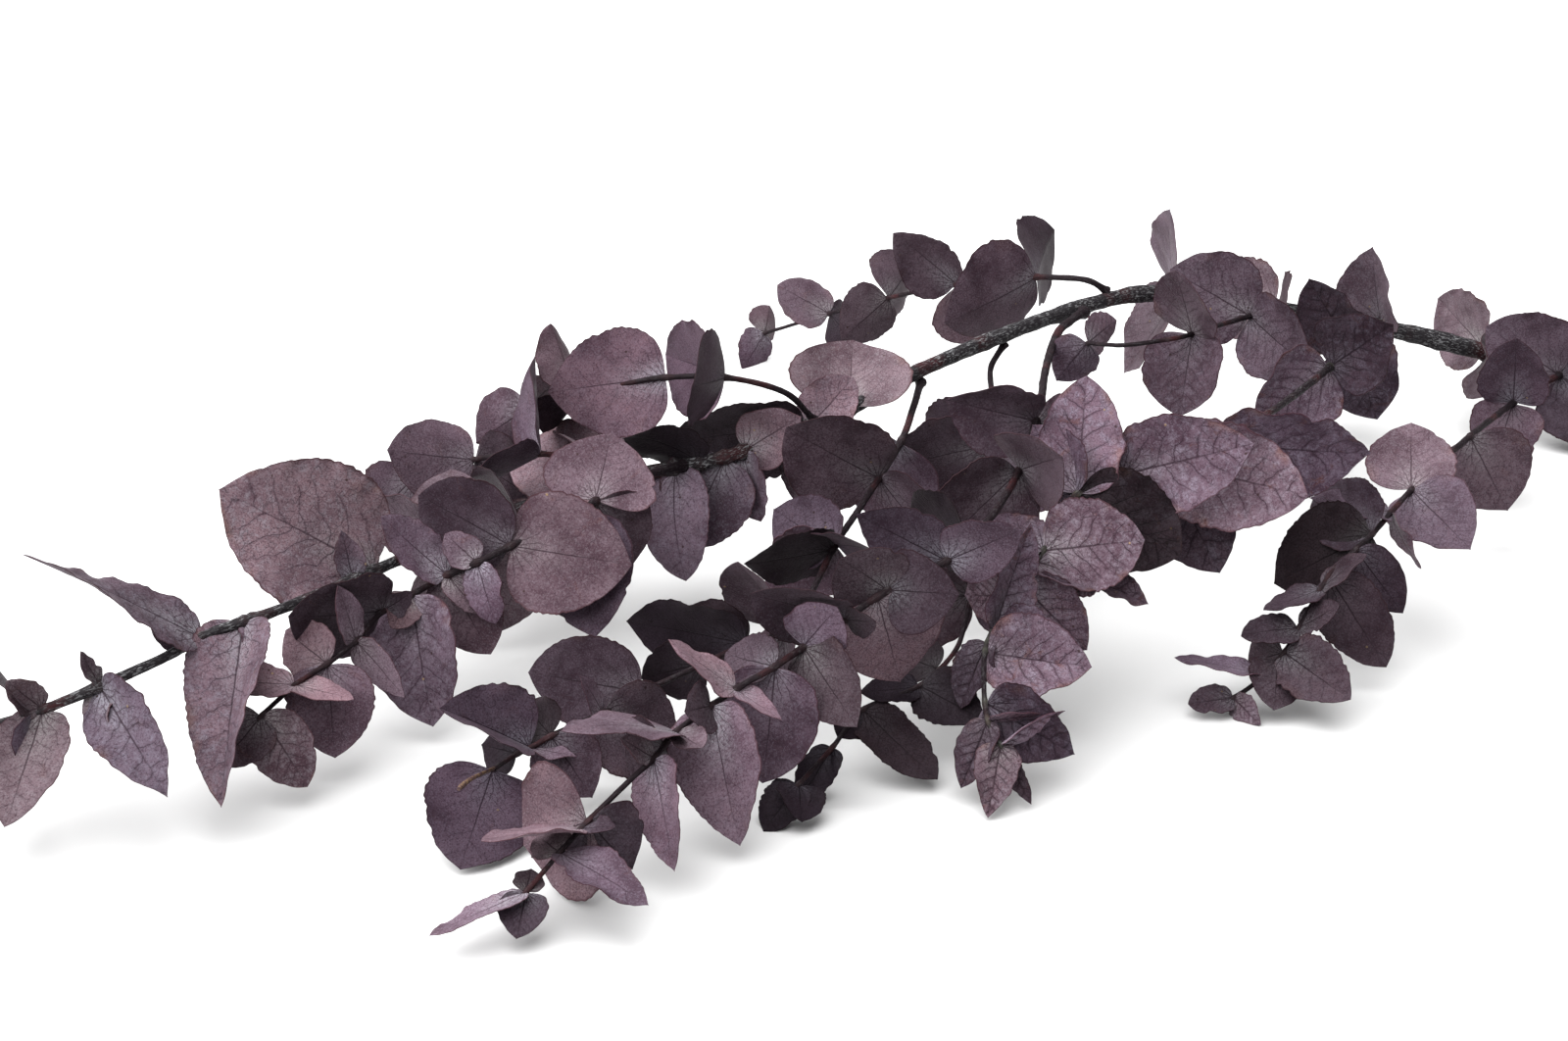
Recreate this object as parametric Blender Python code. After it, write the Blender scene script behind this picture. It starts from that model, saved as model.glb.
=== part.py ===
"""A dyed and preserved eucalyptus stem, cut and laid down on a flat surface.

A woody stem runs from its cut end at +X to its leafy tip at -X, and side shoots fan out from it.
Every shoot carries round leaves in opposite pairs, which sit on the twig with no stalk.
Units are metres, +Z is up, and the surface that the stem lies on is at z = 0.
"""

import math
import random
from collections import namedtuple

import bmesh
import bpy
import numpy as np
from mathutils import Vector
from mathutils.bvhtree import BVHTree

MM = 0.001
SEED = 11

# Driving sizes
BLADE_THICKNESS = 0.7 * MM
BUTT_RADIUS = 3.5 * MM
LEADER_TIP_RADIUS = 1.1 * MM
SIDE_TIP_RADIUS = 0.65 * MM
TIP_REACH = 1.6 * MM
NODE_SWELLING = 0.17
NODE_EVERY = 3

# Gaps and steps
CLEARANCE = 0.3 * MM
FOOT_DEPTH = 1.2 * MM
TWIG_STEP = 14 * MM
SEAT_STEP = 0.1 * MM
SEAT_POINTS = 5
RIM_POINTS = 8
WELD = 0.01 * MM
ROUND_FROM = 2 * MM
LONG_LEAF = 37 * MM
SHORT_LEAF = 18.5 * MM
LONG_CUTS = (0.18, 0.42, 0.68, 0.88)
MIDDLE_CUTS = (0.23, 0.55, 0.84)
SHORT_CUTS = (0.34, 0.78)
ACROSS = (-1.0, 0.0, 1.0)
SHARP_ANGLE = math.radians(40)

# Where the stem was measured from: a pixel of the photograph and a height give a place.
# The eye stands so that the origin is the middle of the finished stem's footprint.
EYE = Vector((-0.0480, -0.87324, 0.375))
EYE_TILT = math.radians(22)
PIXELS_PER_UNIT = 2986.0
MIDDLE_PIXEL = (800.0, 531.0)
RIGHT = Vector((1, 0, 0))
UP = Vector((0, math.sin(EYE_TILT), math.cos(EYE_TILT)))
FORWARD = Vector((0, math.cos(EYE_TILT), -math.sin(EYE_TILT)))

# Shape of a leaf: how pointed the tip is, how far the base curls round the twig, and how the
# width is spread along the length.
POINT_SHARE = 0.05
POINT_POWER = 9
LOBE_SHARE = 0.05
BROAD_LOBE = 0.22
LOBE_SPREAD = 1.8
BASE_ROUNDNESS = 0.39
TWIST_CENTRE = 0.3
SIDE_SHIFT = 1.3
ROOT_SHARE = 0.4
LEAF_ROUGHNESS = 0.62

# What is drawn at random for each leaf
CUP_DRAW = 0.08
CURL_DRAW = 0.25
TWIST_DRAW = 0.15
WAVE_RANGE = (0.01, 0.035)
WAVES_RANGE = (1.2, 2.2)
LEAST_CURL = 0.01
LOBE_RANGE = (0.4, 1.4)
TIP_SHARPNESS_RANGE = (0.52, 0.76)

# What is drawn at random for a leaf that is set by rule
TURN_DRAW = 20
SPREAD_RANGE = (58, 78)
SIZE_RANGE = (0.85, 1.1)
WIDTH_RANGE = (0.8, 1.05)
CUP_RANGE = (0.05, 0.3)
FOLD_RANGE = (0, 0.2)
TILT_DRAW = 0.3

# How a leaf is bent clear of the others: swings in degrees, lengths, and what each thing costs
PAIR_REACH = 3 * MM
CROSSING_COST = 24
PAIR_COST = 8
SHORT_COST = 60
SHORTER = (1.0, 0.88, 0.76)
SWING_ANGLES = (7, 14, 21, 30)
SWING_WAYS = 8
SWINGS = [(0, 0)] + [
    (round(angle * math.cos(way)), round(angle * math.sin(way)))
    for angle in SWING_ANGLES
    for way in [math.radians(360 / SWING_WAYS * k + angle * 3) for k in range(SWING_WAYS)]
]

Leaf = namedtuple(
    "Leaf",
    "base tip length width roll away cup fold curl twist",
    defaults=(0.95, 0, False, 0.15, 0.0, 0.0, 0.0),
)
Shoot = namedtuple("Shoot", "name colour route root_radius tip_radius leaves runs")
# A run is a stretch of pairs set by rule: first and last share of the route, number of pairs,
# first and last leaf length in millimetres, and the turn of the first pair in degrees.
Run = namedtuple("Run", "start end pairs first last turn")

# Routes are (pixel x, pixel y, height in millimetres), and leaves are (pixel of the base, pixel of
# the tip, length in millimetres, width as a share of it, roll in degrees, and how the blade bends).
MAIN = Shoot(
    "main_stem",
    (0.150, 0.100, 0.122),
    [
        (1800, 425, 3.7), (1700, 405, 8), (1600, 380, 17), (1400, 332, 42), (1236, 306, 60),
        (1161, 300, 65), (1066, 326, 68), (945, 375, 66), (850, 425, 60), (740, 466, 52),
        (640, 486, 46), (540, 516, 43), (450, 552, 43), (360, 592, 45), (279, 624, 46),
        (204, 651, 44), (163, 673, 42), (102, 700, 38), (44, 724, 34), (0, 738, 31),
        (-70, 757, 25), (-130, 770, 19), (-180, 782, 14),
    ],
    BUTT_RADIUS,
    LEADER_TIP_RADIUS,
    [
        Leaf((868, 424), (870, 349), 27, 1.45, 0, True, 0.3, 0.1),
        Leaf((824, 437), (683, 446), 42, 0.85, -45, True, 0.25),
        Leaf((824, 437), (881, 406), 21, 0.85, 0),
        Leaf((824, 437), (826, 523), 27, 0.6, 30, False, 0.1, 0.5),
        Leaf((762, 470), (821, 428), 24, 0.8, 0),
        Leaf((762, 470), (777, 534), 22, 0.75, 35, False, 0.1, 0.4),
        Leaf((740, 470), (712, 563), 32, 0.95, 10, True),
        Leaf((720, 475), (638, 448), 30, 0.75, -55, False, 0.1, 0.0, 0.8),
        Leaf((690, 478), (700, 592), 36, 0.66, 25, False, 0.0, 0.0, -0.9),
        Leaf((640, 490), (520, 466), 42, 0.9, 40, True),
        Leaf((450, 552), (460, 480), 30, 0.9, -30, True),
        Leaf((556, 512), (505, 662), 41, 0.6, 0, True),
        Leaf((385, 585), (225, 500), 50, 0.9, 12, False, 0.3),
        Leaf((385, 585), (332, 538), 18, 0.55, 20),
        Leaf((360, 592), (348, 541), 14, 0.7, 30),
        Leaf((262, 630), (252, 660), 10, 0.7),
        Leaf((250, 636), (226, 822), 58, 0.42, 30, False, 0.1, 0.5, 0.0, 0.5),
        Leaf((204, 655), (40, 559), 56, 0.36, 60, False, 0.0, 0.1, 0.0, 0.9),
        Leaf((190, 658), (155, 640), 12, 0.7, 20),
        Leaf((102, 700), (170, 812), 42, 0.46, 25, False, 0.0, 0.3, 0.0, -0.8),
        Leaf((102, 700), (83, 666), 11, 0.5, 40),
        Leaf((104, 699), (100, 762), 17, 0.6, 40),
        Leaf((40, 725), (5, 842), 38, 0.52, 15),
        Leaf((43, 724), (8, 696), 14, 0.7, 10),
    ],
    [Run(0.16, 0.33, 4, 32, 32, 10), Run(0.56, 0.74, 5, 34, 30, 30), Run(0.93, 1.0, 3, 20, 13, 40)],
)

FRONT = Shoot(
    "front_shoot",
    (0.142, 0.098, 0.128),
    [
        (1120, 312, 67), (1084, 334, 69), (1068, 372, 71), (1060, 420, 72), (1040, 480, 70),
        (1005, 535, 66), (966, 572, 60), (906, 602, 54), (862, 632, 48), (820, 660, 43),
        (791, 680, 41), (759, 698, 39), (726, 720, 36), (690, 747, 33), (667, 774, 30),
        (646, 793, 28), (600, 838, 22), (571, 870, 18), (537, 910, 12),
    ],
    1.5 * MM,
    SIDE_TIP_RADIUS,
    [
        Leaf((966, 572), (1042, 541), 24, 0.8, 20),
        Leaf((966, 572), (872, 524), 28, 0.75, -20, True),
        Leaf((985, 556), (930, 520), 26, 1.0, -50, True),
        Leaf((906, 602), (858, 571), 18, 1.35, -25),
        Leaf((906, 602), (978, 606), 21, 1.15, 10),
        Leaf((892, 612), (928, 675), 32, 1.05, 0, True),
        Leaf((862, 630), (767, 606), 29, 0.85, -50, False, 0.25),
        Leaf((862, 630), (893, 634), 12, 0.9, 40),
        Leaf((822, 658), (874, 741), 28, 0.75, 20),
        Leaf((822, 658), (848, 610), 17, 1.1, 0),
        Leaf((791, 680), (778, 798), 33, 0.85, 15, True),
        Leaf((791, 680), (741, 667), 18, 0.9, 20, True),
        Leaf((752, 703), (683, 653), 23, 0.75, 66),
        Leaf((752, 703), (797, 734), 15, 0.8, -66),
        Leaf((727, 719), (755, 862), 38, 0.66, 20, False, 0.2, 0.2),
        Leaf((727, 719), (699, 726), 13, 1.1, 0),
        Leaf((690, 747), (573, 746), 33, 0.8, 76, False, 0.05, 0.0, -0.4),
        Leaf((690, 747), (722, 752), 13, 0.8, -60),
        Leaf((680, 759), (640, 786), 22, 1.0, 10, True),
        Leaf((669, 775), (688, 888), 31, 0.6, 45),
        Leaf((669, 775), (648, 747), 12, 0.6, 50),
        Leaf((600, 842), (535, 862), 26, 1.45, 0, True, 0.2),
        Leaf((604, 838), (645, 886), 18, 1.3, 0, True),
        Leaf((596, 844), (492, 858), 28, 0.7, 80),
        Leaf((596, 844), (627, 844), 11, 0.7, -60),
        Leaf((571, 868), (661, 923), 30, 0.5, -48, False, 0.2, 0.0, 0.0, 0.6),
        Leaf((571, 868), (545, 850), 14, 0.8, 20, True),
        Leaf((537, 910), (439, 954), 27, 0.4, 66),
        Leaf((537, 910), (527, 957), 13, 1.0, 10),
        Leaf((540, 906), (542, 887), 9, 0.9, 0, True),
    ],
    [Run(0.30, 0.40, 2, 32, 32, 30)],
)

SECOND = Shoot(
    "second_shoot",
    (0.108, 0.072, 0.092),
    [
        (940, 378, 62), (924, 440, 58), (886, 505, 52), (850, 560, 44), (815, 630, 36),
        (787, 650, 33), (762, 657, 32), (690, 690, 29), (655, 706, 27), (614, 727, 25),
        (562, 751, 22), (545, 761, 20), (528, 769, 18), (503, 785, 16),
    ],
    1.2 * MM,
    SIDE_TIP_RADIUS,
    [
        Leaf((885, 437), (878, 519), 32, 1.15, 0, True),
        Leaf((850, 560), (790, 520), 26, 0.9, 0, True),
        Leaf((850, 560), (760, 575), 30, 0.7, -45),
        Leaf((762, 657), (640, 634), 36, 0.75, -40, True),
        Leaf((762, 657), (700, 622), 22, 0.85, -30, True),
        Leaf((720, 676), (655, 692), 20, 0.9, -20, True),
        Leaf((655, 706), (540, 686), 34, 0.85, -20, True),
        Leaf((614, 727), (690, 772), 28, 1.0, -10, True, 0.2, 0.2),
        Leaf((614, 727), (592, 690), 15, 0.5, 50),
        Leaf((560, 752), (533, 717), 15, 1.1, -20, True),
        Leaf((560, 752), (606, 804), 20, 1.0, 0, True),
        Leaf((540, 763), (449, 723), 28, 0.8, 45, False, 0.1, 0.7),
        Leaf((540, 763), (588, 772), 13, 0.6, -60),
        Leaf((530, 768), (492, 760), 13, 1.1, 0, True),
        Leaf((503, 785), (464, 904), 34, 0.92, 0, False, 0.15),
    ],
    [Run(0.22, 0.50, 3, 32, 30, 60)],
)

LEFT = Shoot(
    "left_shoot",
    (0.168, 0.115, 0.130),
    [
        (700, 475, 49), (650, 488, 55), (585, 525, 58), (521, 557, 52), (487, 574, 48),
        (456, 587, 44), (420, 607, 40), (391, 623, 38), (363, 654, 36), (334, 677, 33),
        (301, 699, 30), (267, 730, 25),
    ],
    1.4 * MM,
    SIDE_TIP_RADIUS,
    [
        Leaf((608, 513), (624, 443), 22, 1.55, 0, True, 0.1),
        Leaf((609, 512), (645, 575), 26, 1.0, 0, True),
        Leaf((585, 525), (607, 650), 36, 0.85, 0, True),
        Leaf((522, 560), (645, 577), 35, 1.02, 0, False, 0.12),
        Leaf((519, 557), (428, 506), 31, 0.92, -20, True, 0.2),
        Leaf((487, 574), (454, 545), 12, 0.9, 0, True),
        Leaf((487, 574), (506, 637), 18, 0.65, 20),
        Leaf((455, 587), (402, 510), 26, 0.6, 35),
        Leaf((455, 587), (491, 622), 14, 0.75, -35),
        Leaf((456, 589), (512, 655), 26, 0.85, 10, True),
        Leaf((424, 606), (442, 742), 38, 0.72, 20, False, 0.2, 0.25),
        Leaf((424, 606), (400, 640), 12, 0.9, 0),
        Leaf((391, 623), (279, 614), 32, 0.95, -35, False, 0.15),
        Leaf((391, 623), (420, 604), 10, 0.9, 30),
        Leaf((364, 653), (344, 593), 18, 0.6, 45),
        Leaf((364, 653), (412, 711), 21, 0.55, 40),
        Leaf((334, 677), (342, 773), 26, 0.95, 0, True),
        Leaf((334, 677), (290, 650), 18, 0.9, 0, True),
        Leaf((299, 699), (237, 663), 21, 0.72, 60),
        Leaf((299, 699), (360, 713), 18, 0.7, -60),
        Leaf((267, 729), (317, 808), 23, 0.78, 10, False, 0.2),
        Leaf((267, 729), (219, 788), 18, 0.9, 0),
    ],
    [],
)

DROOPING = Shoot(
    "drooping_shoot",
    (0.165, 0.098, 0.102),
    [
        (1400, 334, 47), (1360, 372, 57), (1300, 418, 66), (1240, 450, 70), (1180, 474, 70),
        (1143, 485, 69), (1099, 504, 67), (1090, 524, 62), (1065, 562, 52), (1035, 608, 42),
        (1008, 655, 34), (1004, 700, 27), (1008, 735, 21), (1021, 760, 16),
    ],
    1.5 * MM,
    SIDE_TIP_RADIUS,
    [
        Leaf((1240, 450), (1398, 462), 48, 0.68, 30, True, 0.1, 0.25),
        Leaf((1190, 470), (1334, 506), 44, 0.72, 0, False, 0.2),
        Leaf((1143, 485), (1279, 453), 42, 0.68, 0, False, 0.1, 0.1),
        Leaf((1099, 504), (1109, 384), 36, 0.68, 0, True, 0.15, 0.1),
        Leaf((1099, 504), (1010, 455), 30, 0.9, -20, True),
        Leaf((1099, 504), (1200, 570), 34, 0.85, 0, True),
        Leaf((1190, 470), (1245, 585), 36, 0.8, 0, True),
        Leaf((1065, 562), (1167, 551), 32, 0.88, 0, False, 0.15),
        Leaf((1065, 562), (996, 534), 22, 0.7, 40, True, 0.0, 0.5),
        Leaf((1040, 600), (1110, 664), 26, 0.8, 10, True),
        Leaf((1060, 570), (1171, 616), 34, 0.5, -40, True, 0.1, 0.4),
        Leaf((1035, 608), (984, 615), 18, 0.9, 0, True),
        Leaf((1013, 645), (1052, 533), 32, 0.5, 40, False, 0.0, 0.5),
        Leaf((1013, 645), (1092, 660), 23, 0.8, -10),
        Leaf((1008, 668), (1118, 669), 30, 0.8, -15, False, 0.1, 0.3),
        Leaf((1008, 655), (981, 722), 20, 0.62, 30, False, 0.0, 0.5),
        Leaf((1006, 715), (1101, 772), 28, 0.75, 10, True, 0.1, 0.3),
        Leaf((1008, 735), (978, 808), 20, 0.6, 20, False, 0.0, 0.3),
        Leaf((1008, 738), (1065, 729), 15, 0.5, 65),
        Leaf((1021, 760), (1007, 840), 21, 0.6, 0, False, 0.0, 0.3),
        Leaf((1021, 760), (1052, 820), 18, 0.4, 20, False, 0.0, 0.3),
        Leaf((1021, 758), (1093, 722), 20, 0.4, 60, False, 0.0, 0.4, 0.5),
    ],
    [Run(0.12, 0.22, 2, 28, 30, 50)],
)

RIGHT_END = Shoot(
    "right_shoot",
    (0.122, 0.086, 0.096),
    [
        (1600, 378, 21), (1560, 400, 30), (1500, 445, 40), (1440, 500, 44), (1400, 545, 42),
        (1356, 588, 35), (1325, 641, 22), (1310, 666, 16), (1283, 695, 9), (1259, 712, 5),
    ],
    1.3 * MM,
    SIDE_TIP_RADIUS,
    [
        Leaf((1500, 445), (1538, 520), 34, 0.95, 0, True),
        Leaf((1440, 500), (1500, 560), 30, 0.9, -20),
        Leaf((1440, 500), (1440, 432), 28, 1.0, 0, True),
        Leaf((1420, 523), (1337, 508), 26, 0.6, 60),
        Leaf((1420, 523), (1450, 580), 19, 0.5, 66),
        Leaf((1400, 545), (1300, 575), 34, 0.9, 0, True),
        Leaf((1400, 545), (1345, 500), 26, 0.9, 0, True),
        Leaf((1385, 560), (1431, 625), 24, 0.7, 10, True),
        Leaf((1356, 590), (1414, 680), 32, 0.66, 10, True),
        Leaf((1350, 600), (1290, 622), 19, 0.7, 62),
        Leaf((1350, 600), (1394, 566), 17, 0.7, -62),
        Leaf((1325, 641), (1267, 649), 18, 0.75, 45),
        Leaf((1325, 641), (1366, 617), 15, 0.75, -45),
        Leaf((1310, 666), (1412, 672), 31, 0.7, -25, False, 0.1, 0.3),
        Leaf((1310, 666), (1274, 676), 16, 1.0, 0, True),
        Leaf((1306, 671), (1300, 724), 18, 1.0, -20),
        Leaf((1290, 690), (1199, 671), 27, 0.5, 72),
        Leaf((1290, 694), (1349, 696), 17, 0.5, -60),
        Leaf((1259, 712), (1213, 718), 14, 0.75, 30),
        Leaf((1259, 712), (1286, 739), 12, 0.7, 20),
    ],
    [Run(0.04, 0.24, 2, 34, 34, 20)],
)

UNDER = Shoot(
    "under_shoot",
    (0.088, 0.056, 0.074),
    [
        (1010, 348, 62), (1012, 400, 56), (1012, 440, 52), (1008, 500, 45), (1000, 560, 37),
        (986, 630, 28), (974, 665, 24), (938, 700, 20), (880, 724, 17), (850, 762, 13),
        (815, 800, 9),
    ],
    1.0 * MM,
    SIDE_TIP_RADIUS,
    [
        Leaf((1012, 425), (960, 480), 34, 1.0, 0, True),
        Leaf((1012, 425), (1060, 480), 32, 0.9, 0, True),
        Leaf((938, 700), (878, 706), 18, 0.6, 40),
        Leaf((938, 700), (1000, 725), 22, 0.8, -20),
        Leaf((955, 687), (908, 662), 20, 0.8, 20, True),
        Leaf((880, 724), (972, 780), 30, 0.58, -35),
        Leaf((880, 724), (855, 752), 14, 0.9, 0),
        Leaf((848, 764), (812, 824), 20, 0.6, 30),
        Leaf((815, 800), (818, 838), 14, 1.0, -20),
        Leaf((815, 800), (764, 845), 17, 0.8, 30),
    ],
    [Run(0.30, 0.62, 3, 34, 28, 0)],
)

MIDDLE_BACK = Shoot(
    "middle_back_shoot",
    (0.176, 0.124, 0.144),
    [
        (850, 425, 65), (800, 400, 74), (740, 385, 80), (680, 385, 80), (620, 395, 74),
        (575, 405, 66), (540, 415, 58),
    ],
    1.0 * MM,
    SIDE_TIP_RADIUS,
    [
        Leaf((680, 385), (560, 400), 40, 0.85, 0, True),
    ],
    [Run(0.25, 1.0, 5, 34, 20, 0)],
)

LEFT_BACK = Shoot(
    "left_back_shoot",
    (0.158, 0.112, 0.138),
    [
        (640, 486, 50), (600, 470, 56), (540, 462, 56), (480, 470, 48), (420, 488, 36),
        (370, 505, 24), (330, 520, 14),
    ],
    1.0 * MM,
    SIDE_TIP_RADIUS,
    [],
    [Run(0.18, 1.0, 5, 32, 18, 45)],
)

RIGHT_BACK = Shoot(
    "right_back_shoot",
    (0.182, 0.126, 0.132),
    [
        (1300, 315, 60), (1250, 330, 72), (1200, 345, 78), (1150, 352, 78), (1110, 350, 72),
    ],
    1.0 * MM,
    SIDE_TIP_RADIUS,
    [],
    [Run(0.2, 1.0, 3, 30, 20, 10)],
)

FAR_BACK = Shoot(
    "far_back_shoot",
    (0.190, 0.136, 0.150),
    [
        (1161, 298, 70), (1110, 286, 74), (1040, 283, 70), (960, 293, 56), (890, 308, 38),
        (830, 325, 22), (780, 340, 11),
    ],
    1.1 * MM,
    SIDE_TIP_RADIUS,
    [],
    [Run(0.18, 1.0, 5, 34, 18, 30)],
)

SHOOTS = [
    MAIN, FRONT, SECOND, LEFT, DROOPING, RIGHT_END, UNDER, MIDDLE_BACK, LEFT_BACK, RIGHT_BACK,
    FAR_BACK,
]


def sight(x, y):
    """The direction from the eye through a pixel of the photograph."""
    across = (x - MIDDLE_PIXEL[0]) / PIXELS_PER_UNIT
    down = (y - MIDDLE_PIXEL[1]) / PIXELS_PER_UNIT
    return (FORWARD + RIGHT * across - UP * down).normalized()


def place(x, y, height):
    """The point at this height, in millimetres, that the photograph shows at a pixel."""
    ray = sight(x, y)
    return EYE + ray * ((height * MM - EYE.z) / ray.z)


def pixel(point):
    """Where the photograph shows a point."""
    ray = point - EYE
    depth = ray.dot(FORWARD)
    return (
        MIDDLE_PIXEL[0] + PIXELS_PER_UNIT * ray.dot(RIGHT) / depth,
        MIDDLE_PIXEL[1] - PIXELS_PER_UNIT * ray.dot(UP) / depth,
    )


def smooth_line(points, step):
    """A line through the points, as a Catmull-Rom curve read at about equal steps."""
    ends = [points[0] * 2 - points[1]] + list(points) + [points[-1] * 2 - points[-2]]
    line = []
    for before, start, end, after in zip(ends, ends[1:], ends[2:], ends[3:]):
        count = max(1, round((end - start).length / step))
        for index in range(count):
            t = index / count
            line.append(
                0.5
                * (
                    start * 2
                    + (end - before) * t
                    + (before * 2 - start * 5 + end * 4 - after) * t**2
                    + (start * 3 - before - end * 3 + after) * t**3
                )
            )
    return line + [points[-1]]


def direction(line, index):
    """The way a line runs at one of its points."""
    return (line[min(index + 1, len(line) - 1)] - line[max(index - 1, 0)]).normalized()


def nearest(line, radii, target):
    """The point of the line that the photograph shows closest to a pixel, and its radius."""
    best = None
    for index, (start, end) in enumerate(zip(line, line[1:])):
        for share in (0, 0.25, 0.5, 0.75, 1):
            point = start.lerp(end, share)
            x, y = pixel(point)
            away = math.hypot(x - target[0], y - target[1])
            if best is None or away < best[0]:
                best = (away, point, radii[index])
    return best[1], best[2]


def tip_of(root, leaf):
    """Where the tip of a leaf is, from its pixel and the leaf's length, but not below the surface."""
    ray = sight(*leaf.tip)
    chord = leaf.length * MM * chord_share(leaf.curl)
    back = root - EYE
    along = ray.dot(back)
    miss = (back - ray * along).length
    reach = math.sqrt(max(chord**2 - miss**2, 0))
    tip = EYE + ray * (along + (reach if leaf.away else -reach))
    if tip.z < 0:
        tip = EYE - ray * (EYE.z / ray.z)
    return tip


def chord_share(curl):
    """The straight distance from root to tip of a curled blade, as a share of its length."""
    return math.sin(curl / 2) / (curl / 2) if abs(curl) > LEAST_CURL else 1.0


class Blade:
    """One leaf: a frame at its root and the numbers that bend its middle surface."""

    def __init__(self, root, along, normal, leaf, chance):
        self.root = root
        self.along = along.normalized()
        self.normal = (normal - self.along * normal.dot(self.along)).normalized()
        self.length = leaf.length * MM
        self.half = leaf.length * leaf.width * MM / 2
        self.cup = leaf.cup + chance.uniform(-CUP_DRAW, CUP_DRAW)
        self.fold = leaf.fold
        self.curl = leaf.curl if leaf.curl else chance.uniform(-CURL_DRAW, CURL_DRAW)
        self.twist = leaf.twist + chance.uniform(-TWIST_DRAW, TWIST_DRAW)
        self.wave = chance.uniform(*WAVE_RANGE)
        self.waves = chance.uniform(*WAVES_RANGE)
        self.phase = chance.uniform(0, 2 * math.pi)
        self.lobe = LOBE_SHARE * chance.uniform(*LOBE_RANGE) + BROAD_LOBE * max(leaf.width - 1, 0)
        self.sharpness = chance.uniform(*TIP_SHARPNESS_RANGE)

    def turned(self, yaw, pitch, share):
        """The same leaf swung about its root, in degrees, and made shorter by a share."""
        other = object.__new__(Blade)
        other.__dict__.update(self.__dict__)
        side = self.normal.cross(self.along)
        yaw, pitch = math.radians(yaw), math.radians(pitch)
        other.along = (self.along + side * math.tan(yaw) + self.normal * math.tan(pitch)).normalized()
        other.normal = (self.normal - other.along * self.normal.dot(other.along)).normalized()
        other.length = self.length * share
        other.half = self.half * share
        return other

    def surface(self, t, v):
        """Points of the middle surface: t runs from root to tip, and v from edge to edge, -1 to 1."""
        angle = math.pi * t
        middle = (1 - np.cos(angle)) / 2
        widest = BASE_ROUNDNESS / (BASE_ROUNDNESS + self.sharpness)
        spread = (middle / widest) ** BASE_ROUNDNESS
        spread = spread * (np.maximum(1 - middle, 0) / (1 - widest)) ** self.sharpness
        edge = middle - self.lobe * np.sin(angle) * (1 - t) ** 2 * LOBE_SPREAD
        point = POINT_SHARE * t**POINT_POWER
        edge = edge * (1 - POINT_SHARE) + point
        middle = middle * (1 - POINT_SHARE) + point
        x = middle * (1 - abs(v)) + edge * abs(v)
        y = spread * v
        z = self.cup * y**2 + self.fold * abs(y)
        ripple = np.sin(2 * math.pi * self.waves * t + self.phase + SIDE_SHIFT * np.sign(v))
        z = z * self.half + self.wave * self.length * ripple * v**2 * np.sin(angle)
        y = y * self.half
        turn = self.twist * (x - TWIST_CENTRE)
        y, z = y * np.cos(turn) - z * np.sin(turn), y * np.sin(turn) + z * np.cos(turn)
        bend = self.curl * (x - 0.5)
        radius = self.length / self.curl
        start = -0.5 * self.curl
        x = radius * (np.sin(bend) - math.sin(start)) - z * np.sin(bend)
        z = radius * (math.cos(start) - np.cos(bend)) + z * np.cos(bend)
        side = self.normal.cross(self.along)
        return (
            np.multiply.outer(x, np.array(self.along))
            + np.multiply.outer(y, np.array(side))
            + np.multiply.outer(z, np.array(self.normal))
            + np.array(self.root)
        )

    def stations(self):
        """Where the coarse blade is cut across, from root to tip."""
        if self.length > LONG_LEAF:
            return LONG_CUTS
        return MIDDLE_CUTS if self.length > SHORT_LEAF else SHORT_CUTS


def blade_mesh(blade, thickness):
    """Corners and triangles of a closed slab about a blade's middle surface."""
    cuts = np.array(blade.stations())
    rows, columns = len(cuts), len(ACROSS)
    across = np.array(ACROSS)
    grid = blade.surface(np.repeat(cuts[:, None], columns, 1), np.repeat(across[None, :], rows, 0))
    ends = blade.surface(np.array((0.0, 1.0)), np.array((0.0, 0.0)))
    middle = np.vstack([grid.reshape(-1, 3), ends])
    middle[:, 2] = np.maximum(middle[:, 2], thickness / 2)
    root, tip = rows * columns, rows * columns + 1
    faces = [(root, 0, 1), (root, 1, 2)]
    for row in range(rows - 1):
        for column in range(columns - 1):
            corner = row * columns + column
            below = corner + columns
            if column == 0:
                faces += [(corner, below, corner + 1), (corner + 1, below, below + 1)]
            else:
                faces += [(corner, below, below + 1), (corner, below + 1, corner + 1)]
    last = (rows - 1) * columns
    faces += [(last, tip, last + 1), (last + 1, tip, last + 2)]
    faces = np.array(faces)
    corners = middle[faces]
    flat = np.cross(corners[:, 1] - corners[:, 0], corners[:, 2] - corners[:, 0])
    normals = np.zeros_like(middle)
    for corner in range(3):
        np.add.at(normals, faces[:, corner], flat)
    normals /= np.linalg.norm(normals, axis=1, keepdims=True)
    count = len(middle)
    points = np.vstack([middle + normals * thickness / 2, middle - normals * thickness / 2])
    points[:, 2] = np.maximum(points[:, 2], 0)
    rim = [root] + [row * columns for row in range(rows)] + [tip]
    rim += [row * columns + columns - 1 for row in reversed(range(rows))]
    sides = []
    for start, end in zip(rim, rim[1:] + rim[:1]):
        sides += [(start, end + count, end), (start, start + count, end + count)]
    triangles = np.vstack([faces, faces[:, ::-1] + count, sides])
    return points, triangles


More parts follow.
